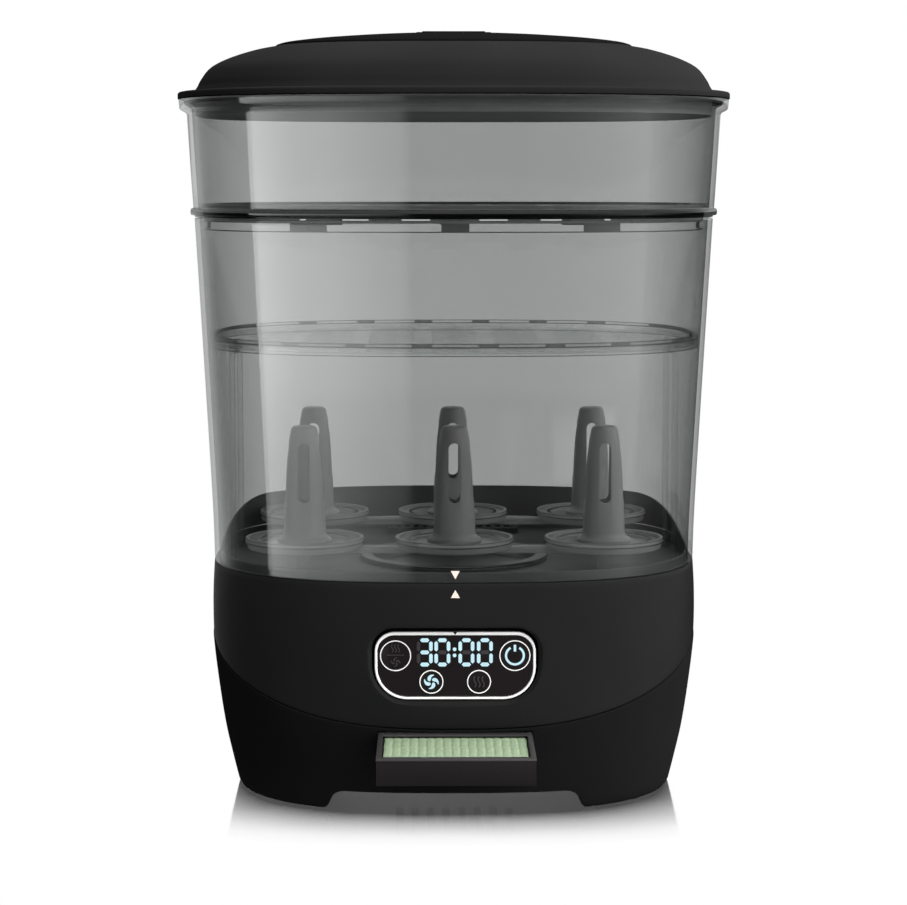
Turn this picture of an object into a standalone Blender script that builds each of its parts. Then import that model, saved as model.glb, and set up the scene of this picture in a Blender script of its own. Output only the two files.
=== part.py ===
"""Bottle steriliser and dryer: a stack of lid, accessory tier and sleeve on a powered base.

Metres, +Z up, the front faces -Y. Every sub-part is one named object in the collection
"bottle_sterilizer". The pieces are drawn about the housing's vertical axis, which the
empty "housing_axis" carries, and each moving group hangs on an empty on its joint's axis.
"""

import math

import bmesh
import bpy
from mathutils import Matrix, Vector

# ---------------------------------------------------------------- driving dimensions
PLAN_POWER = 2.75              # superellipse exponent of the housing seen from above
DEPTH_RATIO = 0.845            # half depth over half width of lid, tier and sleeve
SIDES = 36                     # points around a housing shell
GAP = 0.0003                   # clearance between pieces that touch
WALL = 0.0024                  # clear plastic walls
BASE_WALL = 0.0026             # base casing walls

RIM_HALF_WIDTH = 0.1388        # lid flange, the widest place
LID_BOTTOM = 0.3485
CAP_HALF_WIDTH = 0.0901        # raised top plate of the lid
TIER_BOTTOM = 0.2899
TIER_TOP = 0.3482
SLEEVE_BOTTOM = 0.1165
SLEEVE_TOP = 0.2896 - GAP
BASE_TOP = 0.1162
DECK_TOP = 0.1150
DECK_THICK = 0.0021
DECK_INSET = 0.0004            # from the casing's inner face to the deck's edge
DECK_RIM_TOP = 0.121
RIM_THICK = 0.0014
GUARD_THICK = 0.0009           # splash guard that stands on the rim behind the bottles
GUARD_START_Y = -0.028         # the guard's ends, where its top edge starts to rise
GUARD_FULL_Y = 0.072
GUARD_LOW = 0.1219
GUARD_HIGH = 0.1362

BASE_PROFILE = [               # height, half width of the base casing
    (0.0, 0.1106), (0.0142, 0.1140), (0.0314, 0.1177), (0.055, 0.1211),
    (0.076, 0.12335), (0.088, 0.1238), (0.1024, 0.1236), (0.1162, 0.1228)]
BASE_RATIO_BOTTOM = 0.820      # the base is a little shallower at the floor
SEAM_BACK = 0.088              # height of the casing's seam at the back
SEAM_DROP = 0.045              # how far the seam dips towards the front
SEAM_REACH = 0.105             # half length of that dip
SEAM_STEP = 0.0004             # the lower casing stands this much proud of the upper
CASING_BOTTOM = 0.001
COVER_BOTTOM = 0.012           # bottom cover, inside the casing's skirt
COVER_TOP = 0.0144
SCREW_PLACES = [(-0.086, -0.038), (0.086, -0.038), (-0.086, 0.038), (0.086, 0.038)]
FOOT_PLACES = [(-0.078, -0.060), (0.078, -0.060), (-0.078, 0.060), (0.078, 0.060)]
INLET_X = -0.060               # centre of the power inlet at the back
INLET_Z = 0.028
INLET_BACK = 0.0932

RACK_COLUMN = 0.0746           # bottle places: three columns and two rows
RACK_ROW = 0.0516
DISC_RADIUS = 0.0295
DISC_BOTTOM = 0.126
POST_TOP = 0.187

NIPPLE_RACK_BOTTOM = 0.225
NIPPLE_RACK_HALF_WIDTH = 0.1243
LEG_X = 0.1122                 # middle of a side leg of the nipple rack
LEG_THICK = 0.0044
LEG_WIDTH = 0.056
LEG_BAR = 0.006

PLATE_Y = -0.012               # centre of the heating plate
PLATE_HOLE = 0.043

FAN_X = -0.008                 # vertical axis of the drying fan
FAN_Y = 0.036
SCROLL_BOTTOM = 0.0545
SCROLL_TOP = 0.0785
SCROLL_START = 0.034           # scroll radius at the tongue
SCROLL_END = 0.046             # scroll radius at the outlet
SCROLL_EXIT_Y = 0.082
RISER_FRONT = 0.072
RISER_BACK = 0.094
RISER_HALF_WIDTH = 0.038

DRAWER_HALF_WIDTH = 0.037
DRAWER_BOTTOM = 0.0298
DRAWER_TOP = 0.0422
DRAWER_LENGTH = 0.080
DRAWER_FRONT = -0.155          # the drawer is stored partly pulled out
SLOT_HALF_WIDTH = 0.0376
SLOT_BOTTOM = 0.0292
SLOT_TOP = 0.0428
DUCT_TOP = 0.050

PANEL_Y = -0.099               # front plane of the control panel
PANEL_Z = 0.0753
PANEL_HALF_WIDTH = 0.0389
PANEL_HALF_HEIGHT = 0.01645
PANEL_TOP_RADIUS = 0.0095
PANEL_BOTTOM_RADIUS = 0.0158
KEYS = {                       # centre x, centre z, radius
    "key_steam_dry": (-0.0288, 0.0802, 0.0075),
    "key_power": (0.0288, 0.0802, 0.0075),
    "key_dry": (-0.0115, 0.0674, 0.0058),
    "key_steam": (0.0115, 0.0674, 0.0058)}

# The drawer in front and the lid flange behind set the box, whose middle is the origin.
AXIS_Y = (-DRAWER_FRONT - RIM_HALF_WIDTH * DEPTH_RATIO) / 2


# ---------------------------------------------------------------- scene and materials
def clear_scene():
    for item in list(bpy.data.objects):
        bpy.data.objects.remove(item)


def new_collection(name):
    collection = bpy.data.collections.new(name)
    bpy.context.scene.collection.children.link(collection)
    return collection


clear_scene()
PARTS = new_collection("bottle_sterilizer")
CUTTERS = new_collection("cutters")


def material(name, colour, roughness, metallic=0.0, alpha=1.0):
    made = bpy.data.materials.new(name)
    made.use_nodes = True
    shader = made.node_tree.nodes["Principled BSDF"]
    shader.inputs["Base Color"].default_value = (*colour, 1.0)
    shader.inputs["Roughness"].default_value = roughness
    shader.inputs["Metallic"].default_value = metallic
    shader.inputs["Alpha"].default_value = alpha
    return made


CASING = material("casing_black", (0.018, 0.018, 0.019), 0.55)
CASING_LOW = material("casing_lower_black", (0.009, 0.009, 0.010), 0.5)
SMOKED = material("smoked_clear", (0.30, 0.31, 0.31), 0.08, alpha=0.35)
RACK_GREY = material("rack_grey", (0.25, 0.26, 0.26), 0.3)
POST_GREY = material("post_grey", (0.20, 0.20, 0.20), 0.35)
RUBBER = material("rubber_black", (0.015, 0.015, 0.015), 0.9)
SILICONE = material("silicone_grey", (0.10, 0.10, 0.10), 0.7)
STAINLESS = material("stainless", (0.62, 0.62, 0.62), 0.3, metallic=1.0)
CAST = material("cast_aluminium", (0.55, 0.55, 0.56), 0.45, metallic=1.0)
INNER = material("inner_black", (0.03, 0.03, 0.03), 0.6)
BOARD = material("board_green", (0.02, 0.09, 0.04), 0.6)
TRIM = material("trim_white", (0.85, 0.85, 0.86), 0.3)
WINDOW = material("window_black", (0.012, 0.010, 0.011), 0.08)
MEDIA = material("filter_green", (0.33, 0.52, 0.27), 0.9)
DRAWER = material("drawer_black", (0.016, 0.013, 0.014), 0.45)


# ---------------------------------------------------------------- frame of the assembly
def empty(name, location, parent=None):
    made = bpy.data.objects.new(name, None)
    PARTS.objects.link(made)
    made.parent = parent
    made.location = location
    return made


HOUSING = empty("housing_axis", (0, AXIS_Y, 0))
LID = empty("lid_axis", (0, 0, LID_BOTTOM), HOUSING)
TIER = empty("tier_axis", (0, 0, TIER_BOTTOM), HOUSING)
SLEEVE = empty("sleeve_axis", (0, 0, SLEEVE_BOTTOM), HOUSING)
RACK = empty("bottle_rack_axis", (0, 0, DISC_BOTTOM), HOUSING)
NIPPLES = empty("nipple_rack_axis", (0, 0, NIPPLE_RACK_BOTTOM), HOUSING)
FAN = empty("fan_axis", (FAN_X, FAN_Y, SCROLL_BOTTOM), HOUSING)
DRAWER_AXIS = empty("drawer_axis", (0, DRAWER_FRONT, DRAWER_BOTTOM), HOUSING)


def place(item, skin, parent):
    """Hang a piece that was drawn about the housing axis on its group's empty."""
    PARTS.objects.link(item)
    item.data.materials.append(skin)
    item.parent = parent
    offset = parent.location if parent is not HOUSING else Vector((0, 0, 0))
    item.location = -Vector(offset)
    return item


# ---------------------------------------------------------------- shape helpers
def mesh_object(name, build):
    """A new object from a bmesh that build(bm) fills."""
    bm = bmesh.new()
    build(bm)
    bmesh.ops.recalc_face_normals(bm, faces=bm.faces)
    mesh = bpy.data.meshes.new(name)
    bm.to_mesh(mesh)
    bm.free()
    mesh.shade_smooth()
    mesh.set_sharp_from_angle(angle=math.radians(30))
    return bpy.data.objects.new(name, mesh)


def outline_point(angle, half_width, half_depth):
    """Point of the housing's superellipse in the direction of angle."""
    across = abs(math.cos(angle) / half_width) ** PLAN_POWER
    along = abs(math.sin(angle) / half_depth) ** PLAN_POWER
    radius = (across + along) ** (-1 / PLAN_POWER)
    return radius * math.cos(angle), radius * math.sin(angle)


def outline(half_width, z, ratio=DEPTH_RATIO):
    ring = []
    for step in range(SIDES):
        angle = 2 * math.pi * step / SIDES
        ring.append(Vector((*outline_point(angle, half_width, half_width * ratio), z)))
    return ring


def loft(rings, closed):
    """Skin over rings of equal count: a closed loop of rings, or one with flat ends."""
    def build(bm):
        loops = [[bm.verts.new(point) for point in ring] for ring in rings]
        pairs = list(zip(loops, loops[1:]))
        if closed:
            pairs.append((loops[-1], loops[0]))
        else:
            bm.faces.new(loops[0])
            bm.faces.new(loops[-1])
        for low, high in pairs:
            for step in range(len(low)):
                after = (step + 1) % len(low)
                bm.faces.new((low[step], low[after], high[after], high[step]))
    return build


def housing_loft(name, profile, closed, ratio=DEPTH_RATIO):
    """A shell from (half width, height) pairs that run once around its section."""
    rings = [outline(half_width, z, ratio) for half_width, z in profile]
    return mesh_object(name, loft(rings, closed))


def box(name, low, high):
    """A box between two corners, as a cube primitive placed and scaled in its mesh."""
    def build(bm):
        made = bmesh.ops.create_cube(bm, size=1.0)["verts"]
        size = [b - a for a, b in zip(low, high)]
        middle = [(a + b) / 2 for a, b in zip(low, high)]
        bmesh.ops.scale(bm, vec=size, verts=made)
        bmesh.ops.translate(bm, vec=middle, verts=made)
    return mesh_object(name, build)


def boxes(name, corners):
    """Separate boxes in one mesh, for a cutter."""
    def build(bm):
        for low, high in corners:
            made = bmesh.ops.create_cube(bm, size=1.0)["verts"]
            bmesh.ops.scale(bm, vec=[b - a for a, b in zip(low, high)], verts=made)
            bmesh.ops.translate(bm, vec=[(a + b) / 2 for a, b in zip(low, high)], verts=made)
    return mesh_object(name, build)


def cylinder(name, centre, radius, bottom, top, sides=24, top_radius=None):
    """An upright cylinder, or a cone frustum when top_radius is given."""
    def build(bm):
        made = bmesh.ops.create_cone(
            bm, cap_ends=True, segments=sides, radius1=radius,
            radius2=radius if top_radius is None else top_radius, depth=top - bottom)["verts"]
        bmesh.ops.translate(bm, vec=(centre[0], centre[1], (top + bottom) / 2), verts=made)
    return mesh_object(name, build)


def panel_cylinder(name, x, z, radius, front, back, sides=32):
    """A cylinder that lies along Y, between the planes y = front and y = back."""
    def build(bm):
        made = bmesh.ops.create_cone(
            bm, cap_ends=True, segments=sides, radius1=radius, radius2=radius,
            depth=back - front)["verts"]
        turn = [vert.co.copy() for vert in made]
        for vert, old in zip(made, turn):
            vert.co = (x + old.x, (front + back) / 2 + old.z, z + old.y)
    return mesh_object(name, build)


def prism(name, points, bottom, top):
    """A flat outline in X and Y, given a height."""
    rings = [[Vector((x, y, z)) for x, y in points] for z in (bottom, top)]
    return mesh_object(name, loft(rings, closed=False))


def turned(name, profile, sides, on_axis=True):
    """A turned piece. The (radius, height) profile runs down its outer side."""
    mesh = bpy.data.meshes.new(name)
    edges = [(step, step + 1) for step in range(len(profile) - 1)]
    if not on_axis:
        edges.append((len(profile) - 1, 0))
    mesh.from_pydata([(radius, 0, z) for radius, z in profile], edges, [])
    made = bpy.data.objects.new(name, mesh)
    screw = made.modifiers.new("turn", "SCREW")
    screw.steps = sides
    screw.render_steps = sides
    screw.use_merge_vertices = True
    screw.merge_threshold = 0.00001
    screw.use_smooth_shade = True
    return made


def boolean(target, tool, operation):
    CUTTERS.objects.link(tool)
    tool.parent = HOUSING
    tool.hide_render = True
    tool.display_type = "WIRE"
    step = target.modifiers.new(tool.name, "BOOLEAN")
    step.operation = operation
    step.solver = "EXACT"
    step.object = tool


def cut(target, tool):
    boolean(target, tool, "DIFFERENCE")


def join(target, tool):
    boolean(target, tool, "UNION")


# ---------------------------------------------------------------- base casing
def base_half_width(z):
    for (low, low_width), (high, high_width) in zip(BASE_PROFILE, BASE_PROFILE[1:]):
        if z <= high:
            share = (z - low) / (high - low)
            return low_width + share * (high_width - low_width)
    return BASE_PROFILE[-1][1]


def base_ratio(z):
    return BASE_RATIO_BOTTOM + (DEPTH_RATIO - BASE_RATIO_BOTTOM) * z / BASE_TOP


def base_point(angle, z, inset=0.0):
    half_width = base_half_width(z)
    half_depth = half_width * base_ratio(z)
    return Vector((*outline_point(angle, half_width - inset, half_depth - inset), z))


def seam_height(angle):
    """The seam is level behind and sweeps down towards the front."""
    y = base_point(angle, SEAM_BACK).y
    share = min(max((SEAM_REACH - y) / (2 * SEAM_REACH), 0.0), 1.0)
    return SEAM_BACK - SEAM_DROP * share ** 3


def casing_ring(inset, height):
    """A ring on the casing, whose height may depend on the direction."""
    ring = []
    for step in range(SIDES):
        angle = 2 * math.pi * step / SIDES
        ring.append(base_point(angle, height(angle), inset))
    return ring


def blend_heights(share, low, high):
    return lambda angle: low(angle) + share * (high(angle) - low(angle))


def level(z):
    return lambda angle: z


def upper_shell():
    ledge_top = DECK_TOP - 0.0024
    low = lambda angle: seam_height(angle) + GAP
    rings = [casing_ring(0, blend_heights(share, low, level(BASE_TOP)))
             for share in (0, 0.35, 0.7, 1)]
    rings.append(casing_ring(BASE_WALL, level(BASE_TOP)))
    rings.append(casing_ring(BASE_WALL, level(ledge_top)))
    rings.append(casing_ring(BASE_WALL + 0.0032, level(ledge_top)))
    rings.append(casing_ring(BASE_WALL + 0.0032, level(ledge_top - 0.002)))
    rings += [casing_ring(BASE_WALL, blend_heights(share, low, level(ledge_top - 0.005)))
              for share in (1, 0)]
    shell = mesh_object("base_upper_shell", loft(rings, closed=True))
    cut(shell, panel_opening())
    return place(shell, CASING, HOUSING)


def panel_opening():
    """The dish around the control panel: wide at the face, straight behind the panel."""
    wide = panel_outline(0.0046)
    snug = panel_outline(0.0005)
    sections = ((-0.110, wide), (-0.103, wide), (PANEL_Y + 0.0004, snug), (-0.085, snug))
    rings = [[Vector((x, y, z)) for x, z in points] for y, points in sections]
    return mesh_object("panel_opening_cutter", loft(rings, closed=False))


def lower_shell():
    low = level(CASING_BOTTOM)
    high = lambda angle: seam_height(angle)
    rings = [casing_ring(-SEAM_STEP, blend_heights(share, low, high))
             for share in (0, 0.33, 0.66, 1)]
    rings += [casing_ring(BASE_WALL, blend_heights(share, low, high)) for share in (1, 0.5, 0)]
    shell = mesh_object("base_lower_shell", loft(rings, closed=True))
    for x, y in SCREW_PLACES:
        join(shell, screw_boss(x, y))
    for side in (-1, 1):
        cut(shell, foot_arch(side))
    slot = box("drawer_slot_cutter", (-SLOT_HALF_WIDTH, -0.12, SLOT_BOTTOM),
               (SLOT_HALF_WIDTH, -0.06, SLOT_TOP))
    cut(shell, slot)
    cut(shell, box("inlet_slot_cutter", (INLET_X - 0.0123, 0.07, INLET_Z - 0.0083),
                   (INLET_X + 0.0123, 0.12, INLET_Z + 0.0083)))
    for x, y in SCREW_PLACES:
        cut(shell, cylinder("boss_bore_cutter", (x, y), 0.0022, 0.010, 0.026, 16))
    return place(shell, CASING_LOW, HOUSING)


def foot_arch(side):
    """The opening under the front and the back edge that leaves two broad feet."""
    half_low = 0.066
    half_high = 0.058
    rise = 0.011
    points = [(-half_low, -0.001), (half_low, -0.001), (half_high, rise), (-half_high, rise)]
    near, far = sorted((side * 0.06, side * 0.12))
    rings = [[Vector((x, y, z)) for x, z in points] for y in (near, far)]
    return mesh_object("foot_arch_cutter", loft(rings, closed=False))


def screw_boss(x, y):
    """A boss for a base screw, with a rib that runs out into the casing wall."""
    low = COVER_TOP + GAP
    boss = cylinder("screw_boss", (x, y), 0.0045, low, low + 0.013, 16)
    rib_end = math.copysign(0.1108, x)
    low_x, high_x = sorted((x, rib_end))
    join(boss, box("screw_boss_rib", (low_x, y - 0.0011, low + 0.001),
                   (high_x, y + 0.0011, low + 0.011)))
    return boss


def bottom_cover():
    inset = BASE_WALL + 0.0009
    rings = [casing_ring(inset, level(z)) for z in (COVER_BOTTOM, COVER_TOP)]
    cover = mesh_object("bottom_cover", loft(rings, closed=False))
    slots = []
    for step in range(8):
        x = -0.028 + 0.008 * step
        slots.append(((x - 0.002, -0.080, 0.0), (x + 0.002, -0.030, 0.02)))
    cut(cover, boxes("intake_slots_cutter", slots))
    for x, y in SCREW_PLACES:
        cut(cover, cylinder("cover_hole_cutter", (x, y), 0.0024, 0.0, 0.02, 16))
    return place(cover, INNER, HOUSING)


def base_screw(name, x, y):
    head = COVER_BOTTOM - GAP
    profile = [(0, head + 0.012), (0.0018, head + 0.012), (0.0018, head), (0.0036, head),
               (0.0036, head - 0.0022), (0, head - 0.0022)]
    screw = turned(name, profile, 10)
    place(screw, STAINLESS, HOUSING)
    screw.location = (x, y, 0)


def foot(name, x, y):
    top = COVER_BOTTOM - GAP
    profile = [(0, top), (0.0085, top), (0.0085, 0.0012), (0.0073, 0), (0, 0)]
    pad = turned(name, profile, 16)
    place(pad, RUBBER, HOUSING)
    pad.location = (x, y, 0)


def power_inlet():
    """Socket for a detachable lead, with its two pins in the recess."""
    low = (INLET_X - 0.012, 0.078, INLET_Z - 0.008)
    high = (INLET_X + 0.012, INLET_BACK, INLET_Z + 0.008)
    socket = box("power_inlet", low, high)
    recess_low = (INLET_X - 0.009, INLET_BACK - 0.012, INLET_Z - 0.0046)
    recess_high = (INLET_X + 0.009, INLET_BACK + 0.01, INLET_Z + 0.0046)
    cut(socket, box("inlet_recess_cutter", recess_low, recess_high))
    for side in (-1, 1):
        pin = panel_cylinder("inlet_pin", INLET_X + side * 0.0058, INLET_Z, 0.0012,
                             INLET_BACK - 0.014, INLET_BACK - 0.003, 12)
        join(socket, pin)
    return place(socket, INNER, HOUSING)


# ---------------------------------------------------------------- heating deck
def deck_ring(inset, z):
    """A ring parallel to the casing's top edge."""
    ring = casing_ring(BASE_WALL + inset, level(BASE_TOP))
    return [Vector((point.x, point.y, z)) for point in ring]


def top_deck():
    """Floor of the steam chamber."""
    rings = [deck_ring(DECK_INSET, DECK_TOP - DECK_THICK), deck_ring(DECK_INSET, DECK_TOP)]
    deck = mesh_object("top_deck", loft(rings, closed=False))
    cut(deck, cylinder("plate_hole_cutter", (0, PLATE_Y), PLATE_HOLE, 0.105, 0.13, 32))
    cut(deck, box("outlet_hole_cutter", (-0.033, 0.0755, 0.105), (0.033, 0.0905, 0.13)))
    return place(deck, CASING, HOUSING)


def deck_rim():
    """Upright ring on the deck's edge that the sleeve slips over."""
    foot_z = DECK_TOP + GAP
    inner = DECK_INSET + RIM_THICK
    rings = [deck_ring(DECK_INSET, foot_z), deck_ring(DECK_INSET, DECK_RIM_TOP),
             deck_ring(inner, DECK_RIM_TOP), deck_ring(inner, foot_z)]
    return place(mesh_object("deck_rim", loft(rings, closed=True)), CASING, HOUSING)


def guard_top(y):
    """The guard's top edge rises from the sides and is level along the back."""
    share = min(max((y - GUARD_START_Y) / (GUARD_FULL_Y - GUARD_START_Y), 0.0), 1.0)
    rise = share ** 1.65
    return GUARD_LOW + (GUARD_HIGH - GUARD_LOW) * rise * rise * (3 - 2 * rise)


def guard_ends():
    """Directions of the guard's two ends, found by halving the right-hand side."""
    low, high = -math.pi / 4, math.pi / 2
    for _ in range(30):
        middle = (low + high) / 2
        if base_point(middle, BASE_TOP, BASE_WALL + DECK_INSET).y < GUARD_START_Y:
            low = middle
        else:
            high = middle
    return low, math.pi - low


def rear_splash_guard():
    """A thin curved wall on the rim, inside the sleeve, along the back of the deck."""
    start, end = guard_ends()
    steps = SIDES // 2
    foot_z = DECK_RIM_TOP + GAP
    sections = []
    for step in range(steps + 1):
        angle = start + (end - start) * step / steps
        outer = base_point(angle, BASE_TOP, BASE_WALL + DECK_INSET)
        inner = base_point(angle, BASE_TOP, BASE_WALL + DECK_INSET + GUARD_THICK)
        top = guard_top(outer.y)
        sections.append([Vector((x, y, z)) for x, y, z in (
            (inner.x, inner.y, foot_z), (outer.x, outer.y, foot_z),
            (outer.x, outer.y, top), (inner.x, inner.y, top))])
    guard = mesh_object("rear_splash_guard", loft(sections, closed=False))
    return place(guard, CASING, HOUSING)


def heating_plate():
    profile = [(0, 0.1112), (0.0405, 0.1112), (0.0418, 0.1174), (0.048, 0.1174),
               (0.048, 0.1166), (0.0426, 0.1166), (0.0414, 0.1104), (0, 0.1104)]
    plate = turned("heating_plate", profile, 32)
    place(plate, STAINLESS, HOUSING)
    plate.location = (0, PLATE_Y, 0)


def plate_gasket():
    low = DECK_TOP + GAP
    profile = [(0.0436, low + 0.001), (0.048, low + 0.001), (0.048, low), (0.0436, low)]
    gasket = turned("plate_gasket", profile, 32, on_axis=False)
    place(gasket, SILICONE, HOUSING)
    gasket.location = (0, PLATE_Y, 0)


def heating_element():
    profile = [(0.022, 0.1101), (0.038, 0.1101), (0.038, 0.104), (0.034, 0.0995),
               (0.026, 0.0995), (0.022, 0.104)]
    element = turned("heating_element", profile, 24, on_axis=False)
    place(element, CAST, HOUSING)
    element.location = (0, PLATE_Y, 0)


def thermostat():
    profile = [(0, 0.1101), (0.009, 0.1101), (0.009, 0.1035), (0.006, 0.1035),
               (0.006, 0.1005), (0, 0.1005)]
    sensor = turned("thermostat", profile, 16)
    place(sensor, INNER, HOUSING)
    sensor.location = (0, PLATE_Y, 0)


def air_outlet_grille():
    low = DECK_TOP + GAP
    grille = box("air_outlet_grille", (-0.036, 0.0725, low), (0.036, 0.0935, low + 0.003))
    slots = []
    for step in range(9):
        x = -0.028 + 0.007 * step
        slots.append(((x - 0.0018, 0.0765, 0.11), (x + 0.0018, 0.0895, 0.13)))
    cut(grille, boxes("grille_slots_cutter", slots))
    return place(grille, INNER, HOUSING)


# ---------------------------------------------------------------- air path and fan
def scroll_outline(inset):
    """Spiral wall from the tongue round to the outlet, then the outlet's straight sides."""
    start = math.radians(40)
    points = []
    for step in range(25):
        angle = start + (2 * math.pi - start) * step / 24
        radius = SCROLL_START + (SCROLL_END - SCROLL_START) * step / 24 - inset
        points.append((FAN_X + radius * math.cos(angle), FAN_Y + radius * math.sin(angle)))
    right = FAN_X + SCROLL_END - inset
    left = 0.014 + inset
    end = SCROLL_EXIT_Y + (0.01 if inset else 0)
    points += [(right, end), (left, end)]
    return points


def blower_housing():
    wall = 0.0018
    housing = prism("blower_housing", scroll_outline(0), SCROLL_BOTTOM, SCROLL_TOP)
    hollow = prism("scroll_cutter", scroll_outline(wall), SCROLL_BOTTOM - 0.01,
                   SCROLL_TOP - wall)
    cut(housing, hollow)
    cut(housing, cylinder("shaft_hole_cutter", (FAN_X, FAN_Y), 0.003, 0.07, 0.09, 16))
    return place(housing, INNER, HOUSING)


def blower_cover():
    top = SCROLL_BOTTOM - GAP
    cover = prism("blower_cover", scroll_outline(0), top - 0.0016, top)
    cut(cover, cylinder("fan_inlet_cutter", (FAN_X, FAN_Y), 0.020, 0.04, 0.06, 32))
    return place(cover, INNER, HOUSING)


def motor():
    low = SCROLL_TOP + GAP
    case = cylinder("fan_motor", (FAN_X, FAN_Y), 0.016, low, low + 0.017, 32)
    cut(case, cylinder("motor_bore_cutter", (FAN_X, FAN_Y), 0.0019, 0.06, low + 0.008, 16))
    return place(case, CAST, HOUSING)


def motor_shaft():
    shaft = cylinder("motor_shaft", (FAN_X, FAN_Y), 0.0015, 0.0625, SCROLL_TOP + 0.006, 16)
    return place(shaft, STAINLESS, FAN)


def impeller():
    """Back plate and hub with a ring of blades that a front ring ties together."""
    plate = cylinder("impeller", (FAN_X, FAN_Y), 0.0295, 0.0725, 0.0745, 24)
    join(plate, cylinder("impeller_hub", (FAN_X, FAN_Y), 0.005, 0.0625, 0.0735, 16))
    join(plate, impeller_blades())
    join(plate, impeller_ring())
    cut(plate, cylinder("hub_bore_cutter", (FAN_X, FAN_Y), 0.0018, 0.05, 0.09, 16))
    return place(plate, POST_GREY, FAN)


def impeller_blades():
    count = 14

    def build(bm):
        for step in range(count):
            made = bmesh.ops.create_cube(bm, size=1.0)["verts"]
            bmesh.ops.scale(bm, vec=(0.0075, 0.0011, 0.0145), verts=made)
            bmesh.ops.rotate(bm, cent=(0, 0, 0), verts=made,
                             matrix=turn_about_z(math.radians(28)))
            bmesh.ops.translate(bm, vec=(0.0248, 0, 0.0659), verts=made)
            bmesh.ops.rotate(bm, cent=(0, 0, 0), verts=made,
                             matrix=turn_about_z(2 * math.pi * step / count))
            bmesh.ops.translate(bm, vec=(FAN_X, FAN_Y, 0), verts=made)
    return mesh_object("impeller_blades", build)


def impeller_ring():
    wide = cylinder("impeller_ring", (FAN_X, FAN_Y), 0.0295, 0.0575, 0.0595, 24)
    cut(wide, cylinder("ring_bore_cutter", (FAN_X, FAN_Y), 0.0215, 0.05, 0.07, 24))
    return wide


def turn_about_z(angle):
    return Matrix.Rotation(angle, 3, "Z")


def filter_bay():
    """Guide that holds the filter drawer, with a plenum over it and a window below."""
    wall = 0.0024
    bay = box("filter_bay", (-SLOT_HALF_WIDTH - wall, -0.0915, SLOT_BOTTOM - wall),
              (SLOT_HALF_WIDTH + wall, -0.016, DUCT_TOP + wall))
    cut(bay, box("bay_hollow_cutter", (-SLOT_HALF_WIDTH, -0.12, SLOT_BOTTOM),
                 (SLOT_HALF_WIDTH, 0.0, DUCT_TOP)))
    cut(bay, box("bay_window_cutter", (-0.031, -0.084, 0.01), (0.031, -0.024, SLOT_BOTTOM + 0.01)))
    return place(bay, INNER, HOUSING)


def air_duct():
    """Flat duct from the filter bay to the eye of the fan."""
    wall = 0.0018
    half = SLOT_HALF_WIDTH + wall
    front = -0.016 + GAP
    duct = box("air_duct", (-half, front, SLOT_BOTTOM - wall), (half, 0.064, DUCT_TOP + wall))
    cut(duct, box("duct_hollow_cutter", (-SLOT_HALF_WIDTH, front - 0.01, SLOT_BOTTOM),
                  (SLOT_HALF_WIDTH, 0.062, DUCT_TOP)))
    cut(duct, cylinder("duct_eye_cutter", (FAN_X, FAN_Y), 0.021, 0.045, 0.06, 32))
    return place(duct, INNER, HOUSING)


def riser_ring(low_x, high_x, inset, z, back=RISER_BACK, front=RISER_FRONT):
    corners = [(low_x + inset, front + inset), (high_x - inset, front + inset),
               (high_x - inset, back - inset), (low_x + inset, back - inset)]
    return [Vector((x, y, z)) for x, y in corners]


def air_riser():
    """Duct that turns the fan's outlet upwards and widens it under the deck's grille."""
    wall = 0.0016
    step_front = SCROLL_EXIT_Y + GAP
    top = DECK_TOP - 0.0021 - GAP
    wide = RISER_HALF_WIDTH
    rings = [riser_ring(0.012, 0.040, 0, SCROLL_BOTTOM, front=step_front),
             riser_ring(0.012, 0.040, 0, SCROLL_TOP + 0.002, front=step_front),
             riser_ring(-wide, wide, 0, 0.098),
             riser_ring(-wide, wide, 0, top),
             riser_ring(-wide, wide, wall, top),
             riser_ring(-wide, wide, wall, 0.098),
             riser_ring(0.012, 0.040, wall, SCROLL_TOP + 0.002, front=step_front),
             riser_ring(0.012, 0.040, wall, SCROLL_BOTTOM + wall, front=step_front)]
    riser = mesh_object("air_riser", loft(rings, closed=False))
    cut(riser, box("riser_mouth_cutter", (0.0155, step_front - 0.005, SCROLL_BOTTOM + 0.002),
                   (0.0365, step_front + 0.004, SCROLL_TOP - 0.002)))
    return place(riser, INNER, HOUSING)


def air_heater():
    """Finned block of the air heater inside the top of the riser."""
    inset = 0.0016 + 0.0006
    heater = box("air_heater", (-RISER_HALF_WIDTH + inset, RISER_FRONT + inset, 0.0995),
                 (RISER_HALF_WIDTH - inset, RISER_BACK - inset, 0.1105))
    slots = []
    for step in range(12):
        x = -0.033 + 0.006 * step
        slots.append(((x - 0.0015, RISER_FRONT + 0.0045, 0.09),
                      (x + 0.0015, RISER_BACK - 0.0045, 0.12)))
    cut(heater, boxes("heater_fins_cutter", slots))
    return place(heater, CAST, HOUSING)


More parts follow.
